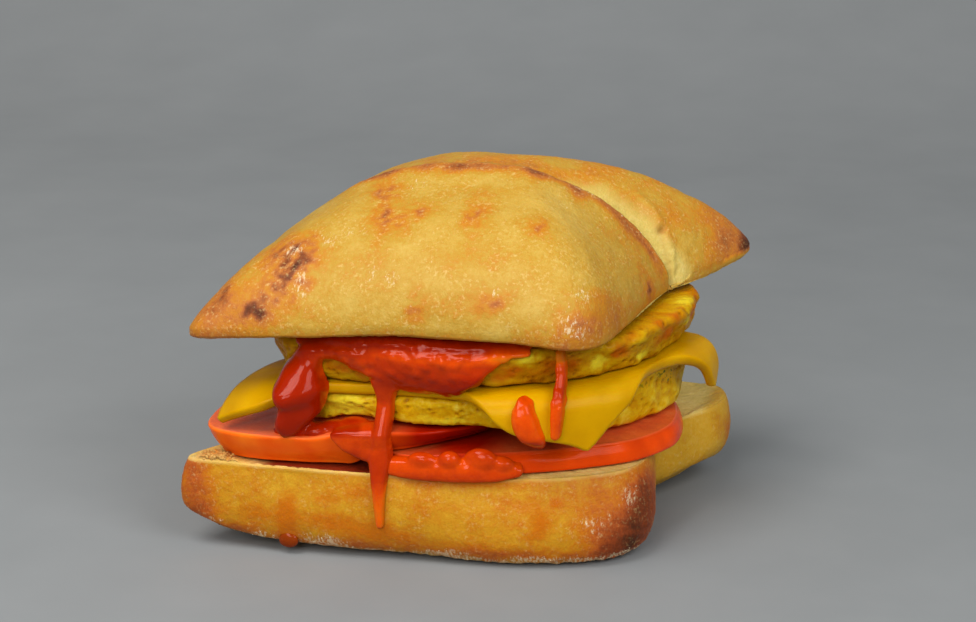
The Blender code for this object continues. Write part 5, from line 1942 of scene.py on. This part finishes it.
UPPER_PATTY = EggPatty(
    "egg_patty_upper", UPPER_EGG, EGG_MIDDLE, above_cheese, upper_egg_over, 2.0, 1.8, 520, seed=43,
    lump=0.6,
    browned=marks(
        (-38, -26, 46, 8, 5, 0.45), (-14, -34, 45, 14, 6, 0.8), (14, -34, 46.5, 8, 4, 0.8),
        (27, -30, 46.5, 5, 3.4, 0.85), (38, -22, 48, 3.4, 2.8, 1), (46.6, -9, 48.4, 4, 2.2, 1),
        (46, -6, 51.4, 12, 1.6, 0.55), (51, 6, 50, 3, 4, 0.9), (49, 14, 52.6, 3, 2, 0.6),
    ),
    fresh=marks(
        (20.2, -33.5, 48.8, 2, 1.2, 1), (8.6, -35, 44.8, 2.6, 1.2, 0.9),
        (33.8, -25.7, 46.6, 1.7, 2.2, 1.2), (42.4, -15.4, 45.6, 1.6, 1.4, 1.2),
        (49, 6, 52.6, 2.2, 1.4, 1), (50, 2, 48.6, 1.4, 2.4, 0.8),
    ),
)
LOWER_CRUST = CrustFinish(
    "lower_crust",
    stops=((0.0, "#d8aa42"), (0.22, "#ce9a20"), (0.36, "#c48614"), (0.50, "#be6c0a"),
           (0.64, "#ae5418"), (0.80, "#8a3c16"), (1.0, "#4a220d")),
    # Crumb tones lighter than the crown's: painted light on the heel's cut face, which lies in the
    # crown's shade.
    crumb=((0.0, "#c2a44c"), (0.5, "#e2c46c"), (1.0, "#f4e098")),
    speckle=0.26,
)
BROWNED_EGG = EggFinish(
    "browned_egg_patty", ((0.12, "#743e02"), (0.40, "#a86a03"), (0.68, "#bc8a05"), (1.0, "#cab214"))
)
HERB_FLECKS = Sprinkle("herb_flecks", "herb", 0.10, 0.25, 0.55, 0.25, 5)
FLOUR_GRAINS = Sprinkle("flour_grains", "flour", 0.20, 0.05, 0.14, 0.6, 6, low=0.35, sink=0.02)
FOOT_FLOUR = Sprinkle("foot_flour", "flour", 0.35, 0.06, 0.18, 0.6, 7, low=0.35, sink=0.02)
HEEL_CRUMBS = Sprinkle("heel_crumbs", "crag", 3.0, 0.18, 0.50, 0.8, 8, low=0.45)


def carry(item: Piece, node_name: str, material: Material) -> None:
    """Dress a piece, let it ride on the sandwich and stand for its solid.

    Args:
        item: The piece.
        node_name: The solid that it replaces, or nothing.
        material: Its finish.
    """
    if not item.data.materials:
        item.data.materials.append(material)
    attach(item, BODY)
    if node_name:
        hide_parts(node_name)
    LOG.info("%s: %d faces", item.name, len(item.data.polygons))


def main() -> None:
    """Build the sandwich from the heel up, dress it and light it."""
    logging.basicConfig(level=logging.INFO, format="%(name)s: %(message)s")
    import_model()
    crust = CrustFinish("wheat_crust").make()
    lower_crust = LOWER_CRUST.make()
    heel = Heel().build()
    right, left = RIGHT_TOMATO.build(), LEFT_TOMATO.build()
    lower, upper = LOWER_PATTY.build(), UPPER_PATTY.build()
    cheese = CheeseSlice().build()
    sauces = Ketchup().build(Reach([heel, right, left, lower, upper, cheese]))
    crown = Crown().build()
    tomato = TomatoFinish("ripe_tomato").make()
    egg = EggFinish("egg_patty").make()
    browned_egg = BROWNED_EGG.make()
    ketchup = KetchupFinish("ketchup").make()
    # A darker copy of the ketchup for the hanging bead: painted shade.
    thin_ketchup = KetchupFinish("thin_ketchup", ((0.0, "#943c04"), (1.0, "#6c2002"))).make()
    flour = PlainFinish("flour", "#d8c596", "#eee0c0", 0.9).make()
    toast = PlainFinish("toast_crumb", "#a4702c", "#cfa052", 0.8).make()
    herb = PlainFinish("herb", "#46520c", "#76801e", 0.6).make()
    carry(heel, "heel", lower_crust)
    carry(crown, "crown", crust)
    carry(right, "tomato_right", tomato)
    carry(left, "tomato_left", tomato)
    carry(lower, "egg_lower", egg)
    carry(upper, "egg_upper", browned_egg)
    carry(cheese, "cheese", CheeseFinish("cheese").make())
    for node_name, item in sauces.items():
        carry(item, node_name, ketchup if node_name else thin_ketchup)
    carry(HERB_FLECKS.over(lower, herb), "", herb)
    carry(FLOUR_GRAINS.over(crown, flour), "", flour)
    carry(FOOT_FLOUR.over(heel, flour), "", flour)
    carry(HEEL_CRUMBS.over(heel, toast), "", toast)
    Studio().build()


if __name__ == "__main__":
    main()
